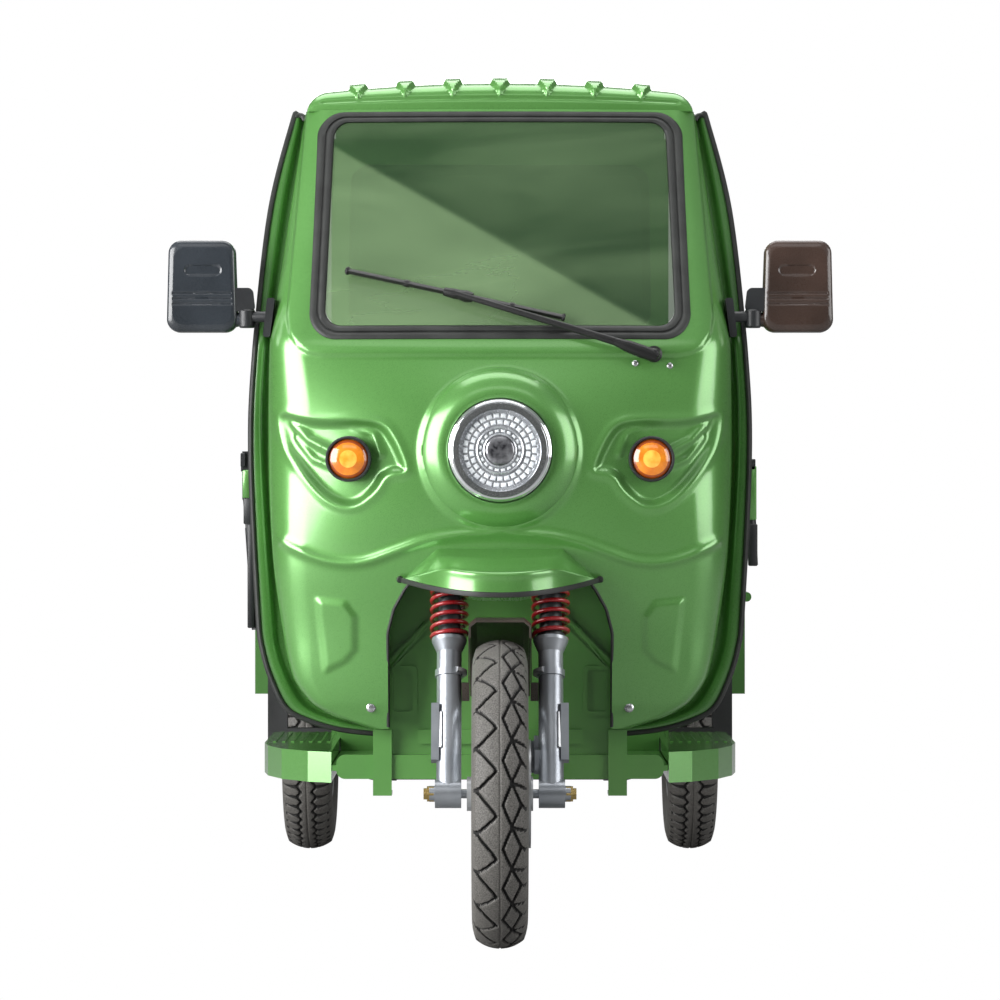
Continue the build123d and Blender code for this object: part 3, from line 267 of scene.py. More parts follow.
def link(name, mesh, body, mat, nodes=(), sharp=38):
    obj = placed(name, mesh)
    mesh.materials.clear()
    mesh.materials.append(mat)
    face_out(mesh, sharp)
    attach(obj, body)
    if nodes:
        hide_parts(*nodes)
    return obj


def raw_mesh(name, points, faces):
    mesh = bpy.data.meshes.new(name)
    mesh.from_pydata([tuple(p) for p in points], [], faces)
    return mesh


def grid(rows, columns, wrap_rows=False, wrap_columns=False, start=0):
    faces = []
    for i in range(rows if wrap_rows else rows - 1):
        for j in range(columns if wrap_columns else columns - 1):
            a = start + i * columns + j
            b = start + i * columns + (j + 1) % columns
            c = start + ((i + 1) % rows) * columns + (j + 1) % columns
            d = start + ((i + 1) % rows) * columns + j
            faces.append((a, b, c, d))
    return faces


class Batch:
    def __init__(self):
        self.points = []
        self.faces = []

    def sheet(self, rows, wrap_rows=False, wrap_columns=False, capped=False):
        start = len(self.points)
        columns = len(rows[0])
        for row in rows:
            self.points += row
        self.faces += grid(len(rows), columns, wrap_rows, wrap_columns, start)
        if capped:
            self.faces.append(tuple(start + j for j in range(columns)))
            self.faces.append(tuple(start + (len(rows) - 1) * columns + j for j in reversed(range(columns))))

    def loft(self, rows):
        self.sheet(rows, wrap_columns=True, capped=True)

    def shell(self, outer, inner, pace=1):
        # two skins of points with their edges walled up; the inner one has every pace-th row and column
        rows, columns = outer.shape[:2]
        inner_rows, inner_columns = inner.shape[:2]
        size = rows * columns
        self.points = [spot(*p) for skin in (outer, inner) for p in skin.reshape(-1, 3)]
        self.faces = grid(rows, columns)
        self.faces += [tuple(reversed(f)) for f in grid(inner_rows, inner_columns, start=size)]

        def wall(i, j, stride, inner_stride):
            a, b = pace * (i * columns + j), size + i * inner_columns + j
            self.faces.append((*(a + k * stride for k in range(pace + 1)), b + inner_stride, b))

        for i in range(inner_rows - 1):
            for j in (0, inner_columns - 1):
                wall(i, j, columns, inner_columns)
        for j in range(inner_columns - 1):
            for i in (0, inner_rows - 1):
                wall(i, j, 1, 1)

    def lathe(self, profile, x, z, steps):
        self.sheet([[spot(x + r * cos(a), s, z + r * sin(a)) for r, s in profile] for a in around(steps)],
                   wrap_rows=True, wrap_columns=True)

    def tube(self, path, radius, sides=10, flat=1):
        path = [Vector(p) for p in path]
        rows = []
        side = None
        for i, point in enumerate(path):
            along = (path[min(i + 1, len(path) - 1)] - path[max(i - 1, 0)]).normalized()
            if side is None:
                side = along.cross(Vector((0, 1, 0)) if abs(along.y) < 0.9 else Vector((0, 0, 1))).normalized()
            side = (side - along * side.dot(along)).normalized()
            up = along.cross(side)
            size = radius[i] if isinstance(radius, (list, tuple)) else radius
            rows.append([point + side * size * MM * cos(a) + up * size * flat * MM * sin(a)
                         for a in around(sides)])
        self.loft(rows)

    def blank(self, name):
        mesh = raw_mesh(name, self.points, self.faces)
        face_out(mesh)
        return placed(name, mesh)

    def build(self, name, body, mat, nodes=(), sharp=38):
        return link(name, raw_mesh(name, self.points, self.faces), body, mat, nodes, sharp)


def arc3(p, q, r, count):
    (ax, ay), (bx, by), (cx, cy) = p, q, r
    pp, qq, rr = (x ** 2 + y ** 2 for x, y in (p, q, r))
    d = 2 * (ax * (by - cy) + bx * (cy - ay) + cx * (ay - by))
    ux = (pp * (by - cy) + qq * (cy - ay) + rr * (ay - by)) / d
    uy = (pp * (cx - bx) + qq * (ax - cx) + rr * (bx - ax)) / d
    radius = hypot(ax - ux, ay - uy)
    a0, a1, a2 = (atan2(y - uy, x - ux) for x, y in (p, q, r))
    turn = (a2 - a0) % (2 * pi)
    if (a1 - a0) % (2 * pi) > turn:
        turn -= 2 * pi
    angles = [a0 + turn * i / count for i in range(count + 1)]
    return [(ux + radius * cos(a), uy + radius * sin(a)) for a in angles]


def smooth_path(points, per):
    found = []
    last = len(points) - 1
    for i in range(last):
        near = points[max(i - 1, 0)], points[i], points[i + 1], points[min(i + 2, last)]
        for k in range(per):
            t = k / per
            found.append(tuple(0.5 * (2 * b + (c - a) * t + (2 * a - 5 * b + 4 * c - d) * t * t
                                      + (3 * b - a - 3 * c + d) * t ** 3) for a, b, c, d in zip(*near)))
    found.append(tuple(points[-1]))
    return found


def line_distance(px, pz, path):
    dist = np.full(px.shape, 1e9)
    for (ax, az), (bx, bz) in zip(path, path[1:]):
        ex, ez = bx - ax, bz - az
        t = np.clip(((px - ax) * ex + (pz - az) * ez) / (ex * ex + ez * ez), 0, 1)
        dist = np.minimum(dist, np.hypot(px - ax - t * ex, pz - az - t * ez))
    return dist


def sdf(px, pz, outline):
    closed = outline + outline[:1]
    inside = np.zeros(px.shape, bool)
    for (ax, az), (bx, bz) in zip(closed, closed[1:]):
        inside ^= ((az > pz) != (bz > pz)) & (px < (bx - ax) * (pz - az) / ((bz - az) or 1e-9) + ax)
    dist = line_distance(px, pz, closed)
    return np.where(inside, -dist, dist)


def step(value, low, high):
    t = np.clip((value - low) / (high - low), 0, 1)
    return t * t * (3 - 2 * t)


# cowl skin: plan sections blended smoothly in height, pressed shapes added along the normal
# a row is height, nose station, half width, nose radius, corner radius
COWL_ROWS = (
    (370, 228, 238, 1700, 30), (392, 219, 305, 1600, 35), (420, 207, 348, 1500, 45), (465, 197, 378, 1400, 55),
    (540, 186, 396, 1300, 75), (700, 160, 416, 1200, 95), (880, 148, 424, 1000, 120), (SILL_Z, 188, 420, 2200, 80),
)
TOP_ROW = (CAB_TOP, 423, 364, 2610, 55)


def slopes(heights, values):
    steps = [(b - a) / (d - c) for a, b, c, d in zip(values, values[1:], heights, heights[1:])]
    found = [steps[0]]
    for a, b in zip(steps, steps[1:]):
        found.append(0 if a * b <= 0 else 2 * a * b / (a + b))
    return found + [steps[-1]]


ROW_Z = [row[0] for row in COWL_ROWS]
ROW_SLOPES = [slopes(ROW_Z, [row[k] for row in COWL_ROWS]) for k in range(1, 5)]


def plain_row(z):
    if z >= SILL_Z:
        t = (z - SILL_Z) / (CAB_TOP - SILL_Z)
        return [a + t * (b - a) for a, b in zip(COWL_ROWS[-1][1:], TOP_ROW[1:])]
    i = max(k for k in range(len(ROW_Z) - 1) if z >= ROW_Z[k] or k == 0)
    size = ROW_Z[i + 1] - ROW_Z[i]
    t = (z - ROW_Z[i]) / size
    if t < 0:
        return [COWL_ROWS[0][k + 1] + (z - ROW_Z[0]) * ROW_SLOPES[k][0] for k in range(4)]
    values = []
    for k in range(4):
        a, b = COWL_ROWS[i][k + 1], COWL_ROWS[i + 1][k + 1]
        ma, mb = ROW_SLOPES[k][i] * size, ROW_SLOPES[k][i + 1] * size
        values.append(a * (1 + 2 * t) * (1 - t) ** 2 + ma * t * (1 - t) ** 2 + b * t * t * (3 - 2 * t)
                      - mb * t * t * (1 - t))
    return values


SILL_BLEND = 12


def cowl_row(z):
    if abs(z - SILL_Z) > SILL_BLEND + 2:
        return plain_row(z)
    samples = [plain_row(z + d) for d in (-SILL_BLEND, -SILL_BLEND / 2, 0, SILL_BLEND / 2, SILL_BLEND)]
    return [sum(s[k] for s in samples) / 5 for k in range(4)]


def flange_station(z):
    return FLANGE_AT + max(0, (z - SILL_Z) / (CAB_TOP - SILL_Z)) * (FLANGE_TOP_AT - FLANGE_AT)


NOSE_STEPS, CORNER_STEPS, SIDE_STEPS = ((88, 36, 6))


def cowl_half(z):
    nose, half, nose_r, corner_r = cowl_row(z)
    gap = nose_r - corner_r
    corner_x = half - corner_r
    reach = sqrt(gap ** 2 - corner_x ** 2)
    lean = atan2(corner_x, reach)
    points = []
    for i in range(NOSE_STEPS):
        a = lean * i / NOSE_STEPS
        points.append((nose_r * sin(a), nose + nose_r - nose_r * cos(a)))
    centre = nose + nose_r - reach
    for i in range(CORNER_STEPS):
        a = lean + (pi / 2 - lean) * i / CORNER_STEPS
        points.append((corner_x + corner_r * sin(a), centre - corner_r * cos(a)))
    back = max(flange_station(z), centre + 3)
    for i in range(SIDE_STEPS + 1):
        points.append((half, centre + (back - centre) * i / SIDE_STEPS))
    return points


def on_cowl(x, z, out=0):
    nose, half, nose_r, corner_r = cowl_row(z)
    return (x, nose + nose_r - sqrt(nose_r ** 2 - x ** 2) - out, z)


def cowl_spot(x, z, out):
    return spot(*on_cowl(x, z, out))


# outlines pressed into the cowl, drawn for one half and mirrored
EYE = [(398, 945), (362, 934), (320, 928), (262, 930), (210, 925), (186, 892), (167, 846), (168, 833), (203, 831),
       (222, 797), (265, 767), (312, 783), (348, 821), (378, 862), (389, 880), (400, 918)]
CHEEK = [(329, 604), (279, 599), (261, 574), (261, 514), (279, 493), (315, 475)]
WAVE = [(392, 709), (370, 697), (330, 680), (285, 671), (240, 674), (190, 691), (140, 709), (80, 721), (0, 725)]
LIP_SIDE = [(320, 1045), (345, 1050), (365, 1062), (379, 1085), (384, 1120)]
SCREEN_LIP = [(-x, z) for x, z in reversed(LIP_SIDE)] + LIP_SIDE + [(352, 1600), (-352, 1600)]


def softened(loop, times):
    for _ in range(times):
        pairs = list(zip(loop, loop[1:] + loop[:1]))
        loop = [(a[0] + (b[0] - a[0]) * t, a[1] + (b[1] - a[1]) * t) for a, b in pairs for t in (0.25, 0.75)]
    return loop


EYE_LOOP = softened(EYE, 2)
# path, rise and width of the ridges inside the eye sockets
EYE_RIDGES = ((((386, 930), (346, 892), (306, 872)), 6.5, 8), (((372, 896), (338, 858), (300, 842)), 4, 6),
              (((262, 918), (228, 905), (216, 868)), 3, 7))
EYE_DEPTH, EYE_RIM, WAVE_RISE, CHEEK_RISE, LIP_OUT, DOME_FILLET = 9, 2.4, 5.4, 4.5, 4.5, 5
DOME_R, FILLET_R = 140, 12


def pressed(x, z):
    ax = np.abs(x)
    eye = sdf(ax, z, EYE_LOOP)
    out = -EYE_DEPTH * step(-eye, -2, 17) + EYE_RIM * np.exp(-((eye - 2) / 8) ** 2)
    inner = step(-eye, 6, 22)
    for path, rise, width in EYE_RIDGES:
        out += inner * rise * np.exp(-(line_distance(ax, z, path) / width) ** 2)
    out += WAVE_RISE * np.exp(-(line_distance(ax, z, smooth_path(WAVE, 6)) / 8) ** 2)
    out += CHEEK_RISE * step(-sdf(ax, z, CHEEK), -7, 7)
    out += LIP_OUT * step(-sdf(x, z, SCREEN_LIP), -6, 4)
    fillet = np.clip(1 - (np.hypot(x, z - HEADLAMP_Z) - DOME_R) / FILLET_R, 0, 1)
    return out + DOME_FILLET * fillet ** 2


def prism(points, near, far):
    batch = Batch()
    batch.loft([[spot(x, s, z) for x, z in points] for s in (near, far)])
    return batch.blank("cutter")


def rounded(corners, radius, count):
    path = []
    for i, corner in enumerate(corners):
        p = Vector(corner)
        a = (Vector(corners[i - 1]) - p).normalized()
        b = (Vector(corners[(i + 1) % len(corners)]) - p).normalized()
        size = radius[i] if isinstance(radius, (list, tuple)) else radius
        if size == 0:
            path.append(tuple(p))
            continue
        half = a.angle(b) / 2
        centre = p + (a + b).normalized() * (size / sin(half))
        start, end = (p + way * (size / tan(half)) - centre for way in (a, b))
        path += [tuple(centre + start.lerp(end, k / count).normalized() * size) for k in range(count + 1)]
    return path


def disc(x, z, radius, count):
    return [(x + radius * cos(a), z + radius * sin(a)) for a in around(count)]


def evaluated(obj):
    graph = bpy.context.evaluated_depsgraph_get()
    return bpy.data.meshes.new_from_object(obj.evaluated_get(graph))


ARCH_X = 202
ARCH = [(ARCH_X, 330), (ARCH_X, 545), (191, 588), (172, 622), (150, 650), (112, 664)]
ARCH_RADII = [0, 60, 50, 40, 30, 20]
ARCH_LOOP = rounded(ARCH + [(-x, z) for x, z in reversed(ARCH)], ARCH_RADII + ARCH_RADII[::-1], 6)
SCREEN_HOLE = rounded([(-331, 1086), (331, 1086), (321, 1496), (-321, 1496)], 40, 10)
LAMP_HOLE_R, HEADLAMP_HOLE_R = 41.5, 100


def skin_normals(base, outward):
    normal = np.cross(np.gradient(base, axis=1), np.gradient(base, axis=0))
    normal /= np.maximum(np.linalg.norm(normal, axis=2), 1e-9)[:, :, None]
    middle = normal[base.shape[0] // 2, base.shape[1] // 2]
    return normal if middle @ outward > 0 else -normal


def make_cowl():
    pitch = 3.6
    heights = [*np.arange(370, 470, 3.2), *np.arange(470, 1110, pitch), *np.arange(1110, CAB_TOP, 9), CAB_TOP]
    if len(heights) % 2 == 0:
        heights.insert(-1, CAB_TOP - 4)
    rows = []
    for z in heights:
        half = cowl_half(z)
        rows.append([(-x, s, z) for x, s in reversed(half[1:])] + [(x, s, z) for x, s in half])
    base = np.array(rows)
    normal = skin_normals(base, (0, -1, 0))
    back = np.array([flange_station(z) for z in heights])[:, None]
    fade = step(np.abs(base[:, :, 1] - back), 2, 22)
    outer = base + normal * (pressed(base[:, :, 0], base[:, :, 2]) * fade)[:, :, None]
    skin = Batch()
    skin.shell(outer, (outer - normal * SKIN)[::2, ::2], pace=2)
    shell = skin.blank("cowl_raw")
    cutters = [prism(SCREEN_HOLE, 80, 620), prism(ARCH_LOOP, 60, FLANGE_AT + 20),
               prism(disc(0, HEADLAMP_Z, HEADLAMP_HOLE_R, 96), 60, 320)]
    cutters += [prism(disc(side * LAMP_X, LAMP_Z, LAMP_HOLE_R, 64), 60, 330) for side in (1, -1)]
    for cutter in cutters:
        cut = shell.modifiers.new("cut", "BOOLEAN")
        cut.operation = "DIFFERENCE"
        cut.solver = "EXACT"
        cut.object = cutter
    result = evaluated(shell)
    for obj in cutters + [shell]:
        bpy.data.objects.remove(obj)
    result.name = "cowl_skin"
    link("cowl_skin", result, "chassis", PAINT, ("front_cowl",), 30)


make_cowl()

# rubber edging round the wheel arch
edging = Batch()
for side in (-1, 1):
    run = [(side * ARCH_X, 374)] + [(side * x, z) for x, z in ARCH_LOOP[1:len(ARCH_LOOP) // 2 - 4] if z >= 372]
    edging.tube([cowl_spot(x, z, 1.5) for x, z in run], 3, 8)
edging.build("arch_edging", "chassis", RUBBER)

# headlamp dome, a stepped turned form that grows out of the cowl; turned profiles are (radius, station)
DOME = [(152, 196), (150, 176), (146, 165), (141, 156.5), (135, 149.5), (128, 143.6), (120, 138.8), (112, 135.4),
        (104, 133.4), (98, 133.2), (94.6, 134.6), (93, 138), (92.6, 146), (92.6, 196), (96, 196), (97, 150),
        (104, 138), (116, 142), (126, 149), (134, 161), (143, 185), (145, 196)]

# headlamp: stepped chrome ring, reflector with raised rings, projector in the middle
BEZEL = [(91.4, 150), (91.4, 128), (91, 122), (89.6, 118.5), (87.2, 116.4), (84.5, 116.2), (82.6, 117.6),
         (81.6, 120), (80, 118.8), (77.6, 118.4), (75.6, 119.6), (74.3, 122), (74, 131), (78, 131), (80, 150)]
REFLECTOR = [(73.6, 130), (73.6, 127.5), (70.5, 126.2), (68.5, 126.2), (67.5, 128.6), (43.5, 128.8), (42.6, 125.6),
             (41.2, 124.8), (39.8, 125.6), (39, 128.8), (31, 128.6), (30, 125.2), (28.4, 124.4), (27.2, 125.6),
             (26.8, 129.4), (26.8, 130)]
PROJECTOR = [(26.6, 130), (26.6, 126.4), (25, 124.6), (22, 123.4), (16, 122.6), (8, 122.1), (0.2, 122),
             (0.2, 130)]
LED = finish("reflector_cells", (0.74, 0.77, 0.8), (0.95, 0.97, 1), 0.2, 0.1, 90, 700)
PROJECTOR_GLASS = finish("projector_glass", (0.02, 0.02, 0.025), (0.3, 0.3, 0.32), 0.06, 0.5, 60, 300, 0.02,
                         coat=(1, 0.02))


def turned(name, profile, steps, mat, nodes=()):
    batch = Batch()
    batch.lathe(profile, 0, HEADLAMP_Z, steps)
    batch.build(name, "chassis", mat, nodes)


turned("headlamp_dome", DOME, 160, PAINT)
turned("headlamp_ring", BEZEL, 144, CHROME)
turned("headlamp_reflector", REFLECTOR, 120, SILVER, ("headlamp_lens",))

# reflector cells: ring radius, count, half sizes along and across the ring
CELL_ROWS = ((62, 30, 5.2, 4.2), (50.6, 26, 4.8, 4.2), (35.2, 20, 3.6, 2.6))
CELL_AT, CELL_RISE, CELL_TAPER = 129, 0.0032, 0.55
leds = Batch()
for ring_r, count, half_t, half_r in CELL_ROWS:
    for i in range(count):
        angle = 2 * pi * (i + 0.5 * (ring_r < 60)) / count
        right = Vector((-sin(angle), 0, cos(angle)))
        up = Vector((cos(angle), 0, sin(angle)))
        centre = spot(ring_r * cos(angle), CELL_AT, HEADLAMP_Z + ring_r * sin(angle))
        leds.loft([[centre + right * (half_t * MM * size * sx) + up * (half_r * MM * size * sz)
                    - Vector((0, out, 0)) for sx, sz in CORNERS]
                   for size, out in ((1, 0), (CELL_TAPER, CELL_RISE))])
leds.build("headlamp_cells", "chassis", LED, sharp=20)
turned("headlamp_projector", PROJECTOR, 72, PROJECTOR_GLASS)

# turn lamps: ribbed amber domes in black rims; the lens's pale core is a painted glow and its dark outer ring
# painted shade
LENS_R, LENS_RIBS, RIB_PACE = 35.6, 18, 1.95
GLOW_R, RIM_SHADE_R = 16, 29
RIM_SECTION = [(36.2, 202), (36.2, 161.5), (37.4, 160), (39.6, 160), (41, 161.6), (41, 202)]
amber = Batch()
rims = Batch()
lens = [(LENS_R, 200), (LENS_R, 166)]
for i in range(LENS_RIBS):
    r = 35.2 - i * RIB_PACE
    lens.append((r, 154.4 + 10.5 * (r / LENS_R) ** 2.4 + (0.5 if i % 2 else 0)))
lens += [(0.2, 154.2), (0.2, 200)]
for side in (-1, 1):
    amber.lathe(lens, side * LAMP_X, LAMP_Z, 72)
    rims.lathe(RIM_SECTION, side * LAMP_X, LAMP_Z, 72)
lenses = amber.build("turn_lamp_lenses", "chassis", AMBER, ("indicator_lenses",), 60)
lenses.data.materials.append(AMBER_GLOW)
lenses.data.materials.append(AMBER_RIM_SHADE)
# faces near the centre take the painted glow, faces near the rim the painted shade
for face in lenses.data.polygons:
    reach = hypot(abs(face.center.x) * 1000 - LAMP_X, face.center.z * 1000 - LAMP_Z)
    face.material_index = 1 if reach < GLOW_R else 2 if reach > RIM_SHADE_R else 0
rims.build("turn_lamp_rims", "chassis", PLASTIC, ("indicator_shells",))

# brow: a hooded pressing with a creased top and a rubber lip
BROW_HALF, BROW_COLUMNS, BROW_STEPS = 178, 60, 4
BROW_TOP, TAIL_AT, TAIL_DROP = 698, 114, 57
LIP_FRONT, LIP_SWEEP, LIP_Z, LIP_RISE = -5, 172, 618, 23
FACE_RISE, TOP_CROWN, SHEET = 37, 5, 4
LIP_SECTION = ((0, 5.5), (-2.6, 4.5), (-3.4, 0), (-2.6, -3.6), (2, -4.2), (6, -3), (6.8, 1.5), (5, 5.5))
LIP_WIDER = 1.006


def brow_curves(u):
    x = BROW_HALF * u
    fall = abs(u)
    tail = min(1, max(0, (abs(x) - TAIL_AT) / (BROW_HALF - TAIL_AT)))
    back = Vector(on_cowl(x * 0.985, BROW_TOP - TAIL_DROP * tail, -2.5))
    lip = Vector((x, LIP_FRONT + LIP_SWEEP * fall ** 2.4, LIP_Z + LIP_RISE * u * u))
    face = FACE_RISE * (1 - max(0, (fall - 0.5) / 0.5) ** 1.3)
    front = Vector((x * 0.985, lip.y - 0.5, lip.z + face + 1.5))
    mid = back.lerp(front, 0.55) + Vector((0, 0, TOP_CROWN * (1 - tail)))
    return back, mid, front, lip


brow = Batch()
lip_rubber = Batch()
brow_rows, lip_rows = [], []
for i in range(BROW_COLUMNS + 1):
    back, mid, front, lip = brow_curves(-1 + 2 * i / BROW_COLUMNS)
    knots = (back, back.lerp(mid, 0.5), mid, mid.lerp(front, 0.75), front, front.lerp(lip, 0.35), lip)
    line = smooth_path([tuple(knot) for knot in knots], BROW_STEPS)
    upper = 4 * BROW_STEPS + 1
    inner = [(x * 0.978, s + SHEET, z - (SHEET if k < upper else 0)) for k, (x, s, z) in enumerate(line)]
    brow_rows.append([spot(*p) for p in line] + [spot(*p) for p in reversed(inner)])
    lip_rows.append([spot(lip.x * LIP_WIDER, lip.y + a, lip.z + b) for a, b in LIP_SECTION])
brow.loft(brow_rows)
brow.build("brow_hood", "chassis", PAINT, ("brow",), 50)
lip_rubber.loft(lip_rows)
for side in (-1, 1):
    end = brow_curves(side)[3]
    knob = [spot(end.x * LIP_WIDER, end.y + along, end.z + 1) for along in (-6, 0, 6)]
    lip_rubber.tube(knob, [4, 6.6, 5], 14)
seam = [brow_curves(-1 + i / 40)[0] + Vector((0, -0.6, 0.8)) for i in range(81)]
lip_rubber.tube([spot(*p) for p in seam], 1.3, 6)
lip_rubber.build("brow_lip", "chassis", RUBBER)

# flange rubber, a rounded section wrapped over the flange's edge
FLANGE = [(388, CAB_TOP), (425, 1320), (447, 1075), (456, 880), (443, 585), (434, 509), (415, 449), (390, 403),
          (350, 381), (290, 364), (209, 355)]
TRIM = ((-5.5, -1.2), (-4.2, -4.4), (0, -5.6), (4.4, -4.6), (7.2, -1.5), (8, 3), (7.2, 7.5), (4.4, 10), (0, 11),
        (-4.5, 9.6), (-5.5, 7.2), (-0.2, 6.4), (0.2, 3), (-0.2, -0.4))
TRIM_WIDTH = 0.72
TRIM_TOP = [(366, 1494), (371, 1501), (380, 1501), (387, 1490)]
trim = Batch()
for side in (-1, 1):
    path = smooth_path(TRIM_TOP + FLANGE[1:], 14)
    rows = []
    for (x, z), (ax, az), (bx, bz) in zip(path, path[:1] + path, path[1:] + path[-1:]):
        dx, dz = bx - ax, bz - az
        size = hypot(dx, dz)
        nx, nz = -dz / size, dx / size
        rows.append([spot(side * (x + TRIM_WIDTH * a * nx), flange_station(z) + b, z + TRIM_WIDTH * a * nz)
                     for a, b in TRIM])
    trim.loft(rows)
trim.build("flange_rubber", "chassis", RUBBER, ("cowl_trim",))

# windscreen rubber with two lobes and a filler groove between them; a row is (share of the width, out)
GASKET = ((0, -3.6), (0, 3), (0.07, 7.2), (0.2, 9), (0.36, 8.4), (0.42, 5.4), (0.48, 5.4), (0.54, 8),
          (0.74, 8.8), (0.9, 7), (0.99, 2.5), (1, 0.4), (0.55, 0.4), (0.5, -3.6))
CORNER_COUNT, STRAIGHT_COUNT = 14, 14
SIGHT_LOOP = rounded([(-317, 1099), (317, 1099), (306, 1482), (-306, 1482)], 30, CORNER_COUNT)
RUBBER_LOOP = rounded([(-348, 1072), (348, 1072), (337, 1504), (-337, 1504)], 50, CORNER_COUNT)
gasket = Batch()
rows = []
count = len(SIGHT_LOOP)
for i in range(count):
    j = (i + 1) % count
    straight = STRAIGHT_COUNT if (i + 1) % (CORNER_COUNT + 1) == 0 else 1
    for k in range(straight):
        inner, outer = (Vector(loop[i]).lerp(Vector(loop[j]), k / straight) for loop in (SIGHT_LOOP, RUBBER_LOOP))
        rows.append([cowl_spot(*inner.lerp(outer, part), out) for part, out in GASKET])
gasket.sheet(rows, wrap_rows=True, wrap_columns=True)
gasket.build("screen_rubber", "chassis", RUBBER, ("windscreen_gasket",), 50)

# flange beside the cowl, pressed as a channel with a raised bead under the rubber, in a darker copy of the body
# green: painted shade in the channel
COWL_EDGE = [(352, CAB_TOP), (376, 1320), (407, 1075), (412, 880), (386, 560), (371, 480), (348, 440), (326, 418),
             (297, 400), (256, 388), (209, 382)]
CHANNEL = ((0, 0.5), (0.05, 9), (0.12, 13), (0.4, 13.5), (0.48, 10), (0.54, 3.5), (0.6, -0.5), (0.7, -2.2),
           (0.84, -1.8), (0.97, 0.6), (0.97, 5.2), (0.66, 4.5), (0.55, 9), (0.46, 16), (0.4, 18), (0.08, 18),
           (0, 13))
CHANNEL_SHADED_PAINT = finish("green_channel_painted_shade", (0.05, 0.17, 0.03), (0.075, 0.24, 0.045), 0.3, 0.15, 4, 900, 0.02, 0.05,
                       coat=(0.8, 0.08))
channel = Batch()
for side in (-1, 1):
    rows = []
    for (ix, iz), (ox, oz) in zip(smooth_path(COWL_EDGE, 14), smooth_path(FLANGE, 14)):
        across = [(ix + (ox - ix) * t, iz + (oz - iz) * t, depth) for t, depth in CHANNEL]
        rows.append([spot(side * x, flange_station(z) + depth, z) for x, z, depth in across])
    channel.loft(rows)
channel.build("flange_channel", "chassis", CHANNEL_SHADED_PAINT, ("cowl_flange",), 50)

# roof moulding: one crowned skin rolled down at the front, with seven ribs that taper out on the roll
ROOF_CORNER = arc3((-358, CAB_TOP), (-350, 1532), (-322, 1548), 16)[:-1]
ROOF_CROWN = arc3((-322, 1548), (0, 1564), (322, 1548), 230)
ROOF_EDGE = ROOF_CORNER + ROOF_CROWN + [(-x, z) for x, z in reversed(ROOF_CORNER)]
ROLL = ((421.6, 0), (421.8, 0.16), (422.6, 0.34), (424.6, 0.5), (428.5, 0.64), (435, 0.755), (445, 0.845),
        (458, 0.91), (474, 0.96), (492, 0.99), (520, 1))
ROOF_FRONT, ROLL_END, ROOF_RISE, ROOF_BOW_R = 421.6, 520, 0.03, 2610
RIB_PITCH, RIB_HALF, RIB_RISE, RIB_EDGE = 87.6, 18.5, 10, 4
RIB_START, RIB_END, RIBS_ASIDE = 24, 1096, 3
CREASE_AT, CREASE_DEPTH, CREASE_WIDTH, CREASE_HALF = 22, 2, 3, 330
PLATE_FRONT, PLATE_BACK = 1087, 1119


def make_roof():
    stations = smooth_path(ROLL, 4)
    stations += [(s, 1 + ROOF_RISE * (s - ROLL_END) / 600) for s in np.arange(535, 1110, 16)]
    stations += [(1108, 1 + ROOF_RISE), (1121, 1 + ROOF_RISE)]
    edge = np.array(ROOF_EDGE)
    sv, hv = np.array(stations).T
    bow = np.clip(1 - (sv - ROOF_FRONT) / 600, 0, 1)[:, None] * (edge[:, 0] ** 2)[None, :] / (2 * ROOF_BOW_R)
    base = np.zeros((len(stations), len(edge), 3))
    base[:, :, 0] = edge[None, :, 0]
    base[:, :, 1] = sv[:, None] + bow
    base[:, :, 2] = CAB_TOP + (edge[None, :, 1] - CAB_TOP) * hv[:, None]
    normal = skin_normals(base, (0, 0, 1))
    travel = np.cumsum(np.hypot(np.diff(sv, prepend=sv[0]), np.diff(hv, prepend=0) * 57))[:, None]
    x, s = base[:, :, 0], base[:, :, 1]
    near = np.abs(x - np.round(np.clip(x / RIB_PITCH, -RIBS_ASIDE, RIBS_ASIDE)) * RIB_PITCH)
    width = RIB_HALF * np.clip((travel - RIB_START) / 34, 0.01, 1) * np.clip((RIB_END - s) / 20, 0.01, 1)
    rise = RIB_RISE * np.clip((travel - RIB_START) / 5, 0, 1) * np.clip((RIB_END - s) / 16, 0, 1)
    out = rise * np.clip((width - near) / RIB_EDGE, 0, 1) * (travel > RIB_START)
    crease = -CREASE_DEPTH * np.exp(-((travel - CREASE_AT) / CREASE_WIDTH) ** 2) * (np.abs(x) < CREASE_HALF)
    inner = base - normal * SKIN
    inner[:, :, 2] = np.maximum(inner[:, :, 2], CAB_TOP)
    roof = Batch()
    roof.shell(base + normal * (out + crease)[:, :, None], inner)
    rear = [(x, CAB_TOP + (z - CAB_TOP) * (1 + ROOF_RISE) - SKIN + 1) for x, z in ROOF_EDGE[14:-14]]
    foot = [(x, CAB_TOP) for x, z in rear]
    roof.sheet([[spot(x, s, z) for x, z in line] for s, line in (
        (PLATE_FRONT, foot), (PLATE_FRONT, rear), (PLATE_BACK, rear), (PLATE_BACK, foot))], wrap_rows=True)
    roof.build("roof_skin", "chassis", PAINT, ("roof",), 32)


make_roof()

# wiper: capped pivot, tapered arm, hooked connector, blade beam with claws and a rubber edge
WIPER_PIVOT, WIPER_JOINT = (277, 1047), (-81, 1157)
HOOK_FROM, HOOK_TO = (281, 1041), (205, 1069)
BLADE_FROM, BLADE_TO = (-279, 1200), (117, 1112)
EDGE_FROM, EDGE_TO = (-277, 1199.4), (115, 1111.6)
CLAWS = ((0, 0.016, 8), (0.28, 0.014, 7.4), (0.5, 0.05, 9.5), (0.55, 0.03, 11), (0.76, 0.014, 7.4),
         (1, 0.014, 7.6))
CLAW_OUT = 22
wiper = Batch()


